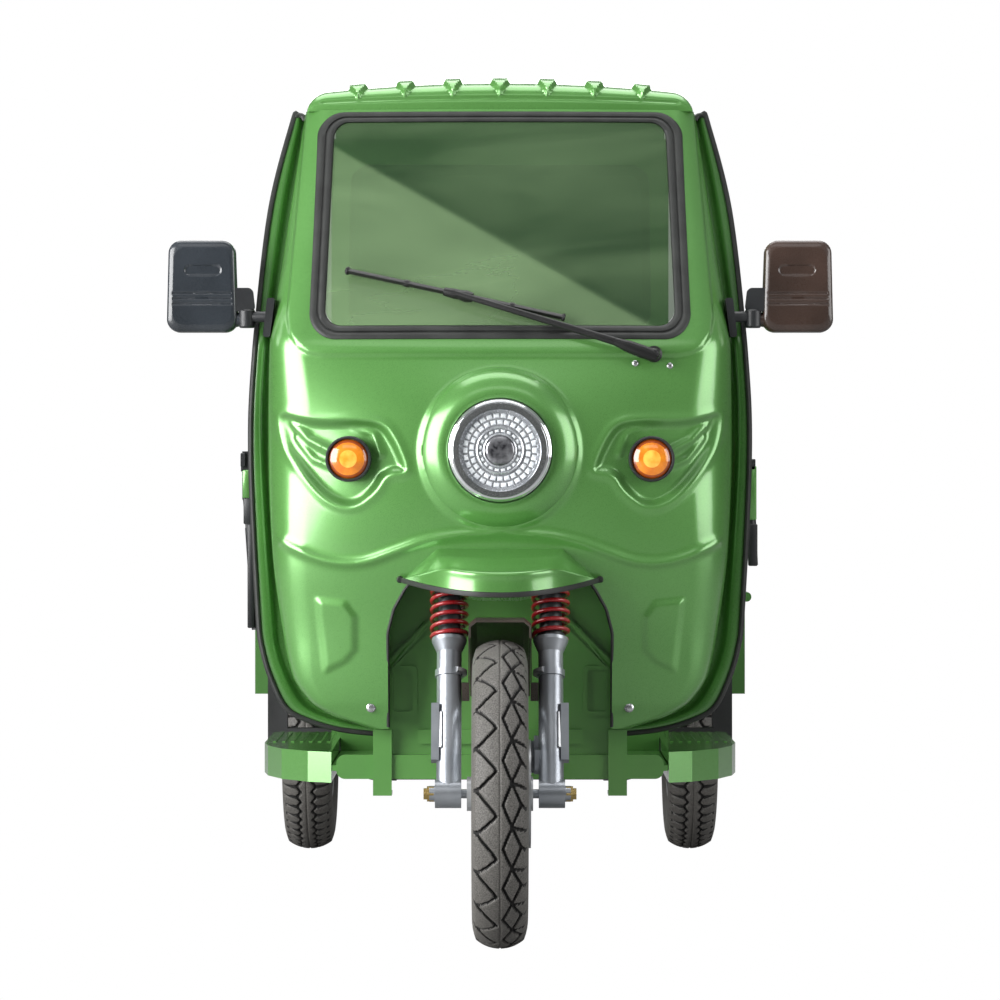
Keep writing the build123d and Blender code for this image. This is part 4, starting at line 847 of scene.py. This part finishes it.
def wiper_line(a, b, out_a, out_b, count):
    return [cowl_spot(a[0] + (b[0] - a[0]) * i / count, a[1] + (b[1] - a[1]) * i / count,
                      out_a + (out_b - out_a) * i / count) for i in range(count + 1)]


px, ps, pz = on_cowl(*WIPER_PIVOT, 0)
wiper.lathe([(0.1, ps - 1.5), (15, ps - 1.5), (15, ps - 6), (11, ps - 8), (10.5, ps - 26), (9, ps - 33),
             (5, ps - 36), (0.1, ps - 36.5)], px, pz, 28)
wiper.tube(wiper_line(WIPER_PIVOT, WIPER_JOINT, 29, 33, 16),
           [8.5, 8.5, 8, 7.4, 7, 6.6] + [6.3 - 0.14 * i for i in range(11)], 10, flat=0.62)
wiper.tube(wiper_line(HOOK_FROM, HOOK_TO, 30, 31, 3), [10.5, 12, 11, 7], 12, flat=0.7)
wiper.tube(wiper_line(BLADE_FROM, BLADE_TO, 20, 20, 18), 5.2, 8, flat=1.8)
wiper.tube(wiper_line(EDGE_FROM, EDGE_TO, 15, 15, 18), 1.6, 6, flat=2.2)
for at, half, thick in CLAWS:
    a, b = max(0, at - half), min(1, at + half)
    claw = [cowl_spot(*(p + (q - p) * t for p, q in zip(BLADE_FROM, BLADE_TO)), CLAW_OUT)
            for t in (a, (a + b) / 2, b)]
    wiper.tube(claw, [thick * 0.8, thick, thick * 0.8], 10)
wiper.build("wiper_arm", "chassis", WIPER_BLACK, ("wiper",), 42)

# small bolts: cowl fixings, wiper washers, gasket nubs
BOLTS = ((-233, 409, 8.5, 4), (233, 409, 8.5, 4), (243, 1030, 5.5, 3), (306, 1026, 5.5, 3),
         (-256, 1066, 5.5, 3), (-121, 1068, 5.5, 3), (126, 1068, 5.5, 3))
bolts = Batch()
for x, z, radius, rise in BOLTS:
    base = on_cowl(x, z, 0)[1]
    bolts.lathe([(0.1, base + 1), (radius, base + 1), (radius, base - 0.4 * rise),
                 (radius * 0.8, base - 0.8 * rise), (radius * 0.4, base - rise), (0.1, base - rise)], x, z, 20)
bolts.build("cowl_bolts", "chassis", STEEL)

# mirrors: crowned backs with a blank pill recess and three grooves, on jointed arms
MIRROR_LOOP = rounded([(478, 1090), (609, 1090), (605, 1258), (484, 1258)], 24, 9)
MIRROR_X, MIRROR_Z = 543.5, 1174
MIRROR_RINGS = ((0.9, 335.4), (0.9, 337.5), (1, 337.5), (1, 330), (1, 314), (0.992, 308), (0.965, 304.4),
                (0.92, 302.4), (0.86, 301.4))
BACK_ROWS, BACK_SCALE, BACK_AT, BACK_CROWN = 34, 0.84, 301, 0.9
PILL_X, PILL_Z, PILL_HALF, PILL_R, PILL_DEPTH = 542, 1203, 24, 10, 2.2
MIRROR_GROOVES, GROOVE_SIZE = (1161, 1151.5, 1142), 2.4
MIRROR_ARM = ((426, 306, 1118), (440, 308, 1118), (458, 313, 1117), (472, 317, 1114), (492, 320, 1113))
MIRROR_EAR = rounded([(447, 1128), (490, 1128), (490, 1171), (452, 1171)], [9, 3, 3, 9], 5)
MIRROR_PLATE = rounded([(418.7, 1081), (432, 1081), (424, 1152), (409.7, 1152)], 4, 4)
ARM_END = 0.4775
mirror = Batch()


def dense(loop, gap):
    found = []
    for (ax, az), (bx, bz) in zip(loop, loop[1:] + loop[:1]):
        count = max(1, int(hypot(bx - ax, bz - az) / gap))
        found += [(ax + (bx - ax) * k / count, az + (bz - az) * k / count) for k in range(count)]
    return found


def mirror_dip(x, z):
    pill = hypot(max(0, abs(x - PILL_X) - PILL_HALF), z - PILL_Z) - PILL_R
    dip = PILL_DEPTH * max(0, min(1, -pill / 2))
    for groove in MIRROR_GROOVES:
        dip += GROOVE_SIZE * max(0, 1 - abs(z - groove) / GROOVE_SIZE)
    return dip


def mirror_ring(scale):
    return [(MIRROR_X + (x - MIRROR_X) * scale, MIRROR_Z + (z - MIRROR_Z) * scale)
            for x, z in dense(MIRROR_LOOP, 2.4)]


for side in (-1, 1):
    rows = [[spot(side * x, station, z) for x, z in mirror_ring(scale)] for scale, station in MIRROR_RINGS]
    for i in range(BACK_ROWS):
        scale = BACK_SCALE * (1 - i / (BACK_ROWS - 0.4))
        crown = BACK_AT - BACK_CROWN * (1 - scale)
        rows.append([spot(side * x, crown + mirror_dip(x, z), z) for x, z in mirror_ring(scale)])
    mirror.loft(rows)
    mirror.tube([spot(side * x, s, z) for x, s, z in MIRROR_ARM], [10, 10, 10.5, 12.5, 15], 16)
    mirror.loft([[spot(side * x, s, z) for x, z in MIRROR_EAR] for s in (304, 305, 326)])
    mirror.tube([spot(side * 462, 312, z) for z in (1098, 1101, 1116, 1129, 1132)], [12.5, 15, 15, 15, 12.5], 20)
    mirror.loft([[spot(side * x, s, z) for x, z in MIRROR_PLATE] for s in (285.5, 286.5, 326)])
housings = mirror.build("mirror_housings", "chassis", MIRROR_COOL_REFLECTION, ("mirrors",), 32)
housings.data.materials.append(MIRROR_WARM_REFLECTION)
housings.data.materials.append(PLASTIC)
# the left housing takes the cool tint and the right the warm one, painted reflections; the arms take plain black
# plastic
for face in housings.data.polygons:
    face.material_index = 2 if abs(face.center.x) < ARM_END else int(face.center.x > 0)


# tyres with real tread, cut as radial grooves in a fine ring; a groove's path is (share of the pitch, across)
FRONT_GROOVES = (((0, 5), (0.5, 20), (1, 5)), ((0, 36), (0.5, 20), (1, 36)), ((0, 36), (0.16, 48)),
                 ((0.5, 20), (0.62, 44)), ((0.25, -6), (0.62, -34), (0.7, -48)),
                 ((0.25, -6), (0.12, -12), (-0.28, -38), (-0.34, -48)))
REAR_GROOVES = [path for side in (-1, 1) for path in (((0, side * 12), (0.5, side * 21), (1, side * 12)),
                                                      ((0.5, side * 21), (0.6, side * 60)))]
SHOULDER_R, WALL_R, BEAD_R, RIM_R = 254, 211.1, 165, 152.3
DEEP_CUT = 8.5


def groove_distance(s, w, period, paths):
    return np.minimum.reduce([line_distance(s, w, [((x + lap) * period, across) for x, across in path])
                              for path in paths for lap in (-1, 0, 1)])


def front_grooves(s, w, period):
    hatch = (np.sin(w * 2.6 + s * 0.9) > 0.2) * (w < -38) * 0.6
    cut = 5.5 * (1 - step(groove_distance(s, w, period, FRONT_GROOVES), 1.5, 2.9))
    return cut + 1.6 * (1 - step(np.abs(w + 0.5), 0.5, 1.4)) + hatch


def rear_grooves(s, w, period):
    cut = 5 * (1 - step(groove_distance(s, w, period, REAR_GROOVES), 1.8, 3.4))
    return cut + 2 * (1 - step(np.abs(w), 0.8, 2))


def make_tyre(name, node, body, centre_x, station, width, laps, grooves, turns):
    half = width / 2
    bead = 0.36 * width
    side_arc = arc3((bead, BEAD_R), (half, WALL_R), (0.86 * half, SHOULDER_R), 9)[:-1]
    tread = arc3((0.86 * half, SHOULDER_R), (0, WHEEL_R), (-0.86 * half, SHOULDER_R), 44)
    profile = [(bead, RIM_R), (bead, 159)] + side_arc + tread + [(-w, r) for w, r in reversed(side_arc)]
    profile += [(-bead, 159), (-bead, RIM_R)]
    w, r = (np.array(column)[None, :] for column in zip(*profile))
    angle = np.linspace(0, 2 * pi, turns, endpoint=False)[:, None]
    period = 2 * pi * WHEEL_R / laps
    s = (angle * WHEEL_R) % period
    cut = grooves(s + 0 * w, w + 0 * s, period) * step(r + 0 * s, 236, 250)
    ring = 0.9 * (np.exp(-((r - 232) / 1.6) ** 2) + np.exp(-((r - 178) / 1.8) ** 2))
    radius = r - cut
    x = centre_x + (w + np.sign(w) * ring) + 0 * angle
    y = station + radius * np.cos(angle)
    z = WHEEL_R + radius * np.sin(angle)
    batch = Batch()
    batch.sheet([[spot(*p) for p in zip(*row)] for row in zip(x, y, z)], wrap_rows=True, wrap_columns=True)
    obj = batch.build(name, body, TYRE, (node,), 55)
    # faces deep in a groove take the near-black rubber: painted shade
    obj.data.materials.append(TYRE_GROOVE_SHADE)
    depth = cut.reshape(-1)
    for face in obj.data.polygons:
        if sum(depth[v] for v in face.vertices) > DEEP_CUT:
            face.material_index = 1


make_tyre("front_tyre_tread", "front_tyre", "front_wheel_set", 0, 0, 98, 22, front_grooves, 700)
for side, label in ((-1, "left"), (1, "right")):
    make_tyre(label + "_tyre_tread", label + "_tyre", label + "_wheel_set", side * 422, 2050, 109, 62, rear_grooves,
              560)

# fork coils round dark sleeves
CUP_AT, SPRING_TOP, COIL_R, WIRE_R = 285, 377, 31, 3.9
COIL_TURNS, COIL_STEPS, COIL_REST, COIL_CLEAR = 5.4, 190, 0.06, 0.6
SLEEVE = ((CUP_AT + 0.5, 25), (CUP_AT + 8, 25), (CUP_AT + 10, 20), (SPRING_TOP - 12, 20), (SPRING_TOP - 10, 25.5),
          (SPRING_TOP - 0.5, 25.5))
TILT = Vector((0, cos(RAKE), -sin(RAKE)))
coils = Batch()
sleeves = Batch()


def round_leg(side, t, r, angle, way=1):
    out = Vector((way * cos(angle), 0, 0)) + TILT * sin(angle)
    return spot(*along_leg(side * LEG_X, t)) + out * r * MM


for side in (-1, 1):
    path = []
    for i in range(COIL_STEPS + 1):
        part = i / COIL_STEPS
        ease = min(1, max(0, (part - COIL_REST) / (1 - 2 * COIL_REST)))
        t = CUP_AT + WIRE_R + COIL_CLEAR + (SPRING_TOP - CUP_AT - 2 * WIRE_R - 2 * COIL_CLEAR) * ease
        path.append(round_leg(side, t, COIL_R, 2 * pi * COIL_TURNS * part + (0.4 if side > 0 else 2.2)))
    coils.tube(path, WIRE_R, 10)
    sleeves.loft([[round_leg(side, t, r, a) for a in around(40)] for t, r in SLEEVE])
coils.build("fork_coils", "fork", SPRING, ("fork_springs",), 60)
sleeves.build("fork_sleeves", "fork", PLASTIC)

# fork dressing: light outer covers on the legs, clamp lugs and brass axle nuts
LEG_R = 20
covers = Batch()
nuts = Batch()
for side in (-1, 1):
    for t, high, wide, way in ((112, 36, 6, 1), (222, 7, 12, -1)):
        section = ((LEG_R, -high), (LEG_R + wide, -high + 4), (LEG_R + wide, high - 4), (LEG_R, high))
        covers.loft([[round_leg(side, t + lift, r, radians(12 * turn), way * side) for r, lift in section]
                     for turn in range(-5, 6)])
    for near, far, r in ((116, 128, 15), (128, 134, 11)):
        nuts.loft([[spot(side * x, r * cos(a), WHEEL_R + r * sin(a)) for a in around(6)] for x in (near, far)])
covers.build("fork_covers", "fork", RIM)
nuts.build("axle_nuts", "fork", BRASS)

# gate catches at the front corners: hook, green lever, dark sleeve and grip
CATCH_AT = 1176
CATCH_SIZE = (CATCH_AT - CAMERA_STATION) / FOCAL
CATCHES = ((243, 453, 467, 5, 0), (247, 470, 498, 9, 1), (249, 498, 524, 11, 0), (251, 524, 628, 7, 0),
           (753, 459, 470, 5, 0), (752, 466, 520, 9, 1), (753, 524, 566, 9, 0))
BAR_INSET = 1.2
catches = Batch()
levers = Batch()


def bar_at(batch, x0, x1, z0, z1, near, far):
    loop = rounded([(x0, z0), (x1, z0), (x1, z1), (x0, z1)], min(2.4, (x1 - x0) * 0.35), 3)
    mx, mz = (x0 + x1) / 2, (z0 + z1) / 2
    small = [(mx + (x - mx) * (1 - 2 * BAR_INSET / (x1 - x0)), mz + (z - mz) * (1 - 2 * BAR_INSET / (z1 - z0)))
             for x, z in loop]
    rings = (loop, far), (loop, near + BAR_INSET), (small, near)
    batch.loft([[spot(x, s, z) for x, z in ring] for ring, s in rings])


for px, top, bottom, wide, green in CATCHES:
    x = (px - IMAGE / 2) * CATCH_SIZE
    z0, z1 = (CAMERA_Z - (edge - HORIZON) * CATCH_SIZE for edge in (bottom, top))
    bar_at(levers if green else catches, x - wide, x + wide, z0, z1, CATCH_AT - 4, CATCH_AT + 8)
catches.build("gate_catches", "chassis", PLASTIC)
levers.build("gate_levers", "chassis", PAINT)

# braces behind the fork, from the arch's side up to the down tube: a flat bar with two folded edges each
BRACE_LOW, BRACE_HIGH, BRACE_AT = (203, 478), (96, 585), 291
BRACE_BARS = ((0, 0, 12, 8.8), (7, -3.5, 2.2, 3.4), (-7, -3.5, 2.2, 3.4))
braces = Batch()
for side in (-1, 1):
    for offset, lift, half, deep in BRACE_BARS:
        low, high = (Vector((side * x, BRACE_AT + lift, z)) for x, z in (BRACE_LOW, BRACE_HIGH))
        along = (high - low).normalized()
        across = Vector((along.z, 0, -along.x))
        braces.loft([[spot(*(end + across * offset + across * half * a + Vector((0, b, 0))))
                      for a, b in ((-1, 0), (1, 0), (1, deep), (-1, deep))] for end in (low, high)])
braces.build("cab_braces", "chassis", PAN_PAINT)

# seat pads: boxes swollen as cloth, sewn channels pressed in, then held inside the cushions' room
PAD_X, PAD_ROOM_X = (-312, 312), (-322, 322)
PADS = (("seat_pad", (722, 1020), (566, 632), (712, 1030), (560.3, 646)),
        ("back_pad", (1040, 1078), (700, 970), (1032, 1084.7), (690, 980)))
PAD_CORNER, PAD_VOXEL = 0.012, 0.006
PAD_PRESSURE, PAD_STEPS, PAD_SWELL = 4, 20, 0.022
SEAM_X, SEAM_DEPTH, SEAM_WIDTH = 107, 6, 5
SEAT_UPPER, BACK_FRONT = 0.6, 1058


def swollen(name, stations, heights, station_room, height_room):
    mesh = bpy.data.meshes.new(name)
    work = bmesh.new()
    bmesh.ops.create_cube(work, size=1)
    box = [((a + b) / 2, b - a) for a, b in (PAD_X, stations, heights)]
    for v in work.verts:
        v.co = spot(*(middle + k * size for k, (middle, size) in zip(v.co, box)))
    bmesh.ops.bevel(work, geom=list(work.edges), offset=PAD_CORNER, segments=3, affect="EDGES", profile=0.5)
    work.to_mesh(mesh)
    work.free()
    obj = placed(name, mesh)
    remesh = obj.modifiers.new("voxels", "REMESH")
    remesh.mode = "VOXEL"
    remesh.voxel_size = PAD_VOXEL
    start = evaluated(obj)
    obj.modifiers.clear()
    obj.data = start
    cloth = obj.modifiers.new("cloth", "CLOTH")
    cloth.settings.use_pressure = True
    cloth.settings.uniform_pressure_force = PAD_PRESSURE
    cloth.settings.effector_weights.gravity = 0
    rest = np.array([v.co for v in start.vertices])
    for number in range(1, PAD_STEPS + 1):
        SCENE.frame_set(number)
    grown = evaluated(obj)
    place = np.array([v.co for v in grown.vertices])
    bpy.data.objects.remove(obj)
    SCENE.frame_set(1)
    move = place - rest
    size = np.linalg.norm(move, axis=1)[:, None]
    place = rest + move * np.minimum(1, PAD_SWELL / np.maximum(size, 1e-9))
    x = place[:, 0] * 1000
    seam = SEAM_DEPTH * sum(np.exp(-((x - at) / SEAM_WIDTH) ** 2) for at in (-SEAM_X, SEAM_X)) * MM
    if name == "seat_pad":
        place[:, 2] -= seam * (place[:, 2] > SEAT_UPPER)
    else:
        place[:, 1] += seam * (place[:, 1] < (BACK_FRONT + SHIFT) * MM)
    low, high = (np.array(spot(*corner)) for corner in zip(PAD_ROOM_X, station_room, height_room))
    for v, p in zip(grown.vertices, np.clip(place, low, high)):
        v.co = p
    work = bmesh.new()
    work.from_mesh(grown)
    for _ in range(4):
        bmesh.ops.smooth_vert(work, verts=work.verts, factor=0.5, use_axis_x=True, use_axis_y=True, use_axis_z=True)
    work.to_mesh(grown)
    work.free()
    piece = link(name, grown, "chassis", VINYL, ("seat_cushions",), 60)


for pad in PADS:
    swollen(*pad)

# floor, light and camera
FLOOR_HALF = 30
floor_mesh = raw_mesh("floor", [(FLOOR_HALF * x, FLOOR_HALF * y, 0) for x, y in CORNERS], [(0, 1, 2, 3)])
floor = placed("floor", floor_mesh)


def white_for_camera(tree, lit, output):
    rays = add_node(tree, "ShaderNodeLightPath").outputs
    seen = add_node(tree, "ShaderNodeMath", {0: rays["Is Camera Ray"], 1: rays["Is Transmission Ray"]},
                    operation="MAXIMUM")
    white = add_node(tree, "ShaderNodeEmission", {"Color": (1, 1, 1, 1), "Strength": 1})
    mix = add_node(tree, "ShaderNodeMixShader", {0: seen.outputs[0], 1: lit, 2: white.outputs[0]})
    tree.links.new(mix.outputs[0], output.inputs["Surface"])


floor_mat = shader("pale_floor", (0.3, 0.3, 0.3), 0.7)
floor_mesh.materials.append(floor_mat)
floor_tree = floor_mat.node_tree
white_for_camera(floor_tree, floor_tree.nodes["Principled BSDF"].outputs[0], floor_tree.nodes["Material Output"])

GROUND_COLOR, SKY_COLOR, SKY_STRENGTH = (0.14, 0.15, 0.14), (0.95, 0.98, 1), 0.36
world = SCENE.world or bpy.data.worlds.new("studio")
SCENE.world = world
world.use_nodes = True
tree = world.node_tree
tree.nodes.clear()
height = add_node(tree, "ShaderNodeSeparateXYZ", {0: add_node(tree, "ShaderNodeTexCoord").outputs["Generated"]})
shade = ramp(tree, height.outputs["Z"], GROUND_COLOR, SKY_COLOR, 0, 1)
sky = add_node(tree, "ShaderNodeBackground", {"Color": shade, "Strength": SKY_STRENGTH})
white_for_camera(tree, sky.outputs[0], tree.nodes.new("ShaderNodeOutputWorld"))


def softbox(name, place, aim, width, height, watts):
    lamp = bpy.data.lights.new(name, "AREA")
    lamp.shape = "RECTANGLE"
    lamp.size, lamp.size_y, lamp.energy = width, height, watts
    obj = placed(name, lamp)
    obj.location = place
    obj.rotation_euler = (Vector(aim) - Vector(place)).to_track_quat("-Z", "Y").to_euler()


softbox("left_strip", (-4.6, -3.6, 1.7), (0, -0.9, 0.9), 4.4, 4.2, 640)
softbox("right_wall", (4.8, -3, 1.9), (0, -0.9, 0.9), 3.4, 3.4, 150)
softbox("top_box", (0, 0.2, 4.8), (0, 0.1, 0.8), 4.5, 4, 170)
softbox("front_fill", (0, -7.2, 6), (0, 0, 0.9), 6, 1.6, 40)
softbox("rear_fill", (0, 6, 3.2), (0, 0.6, 0.8), 4, 2.5, 110)

camera = bpy.data.cameras.new("camera")
camera.lens, camera.sensor_width, camera.shift_y = LENS, SENSOR, CAMERA_SHIFT
eye = placed("camera", camera)
eye.location = spot(0, CAMERA_STATION, CAMERA_Z)
eye.rotation_euler = (radians(90), 0, 0)
SCENE.camera = eye
SCENE.view_settings.view_transform = "Standard"
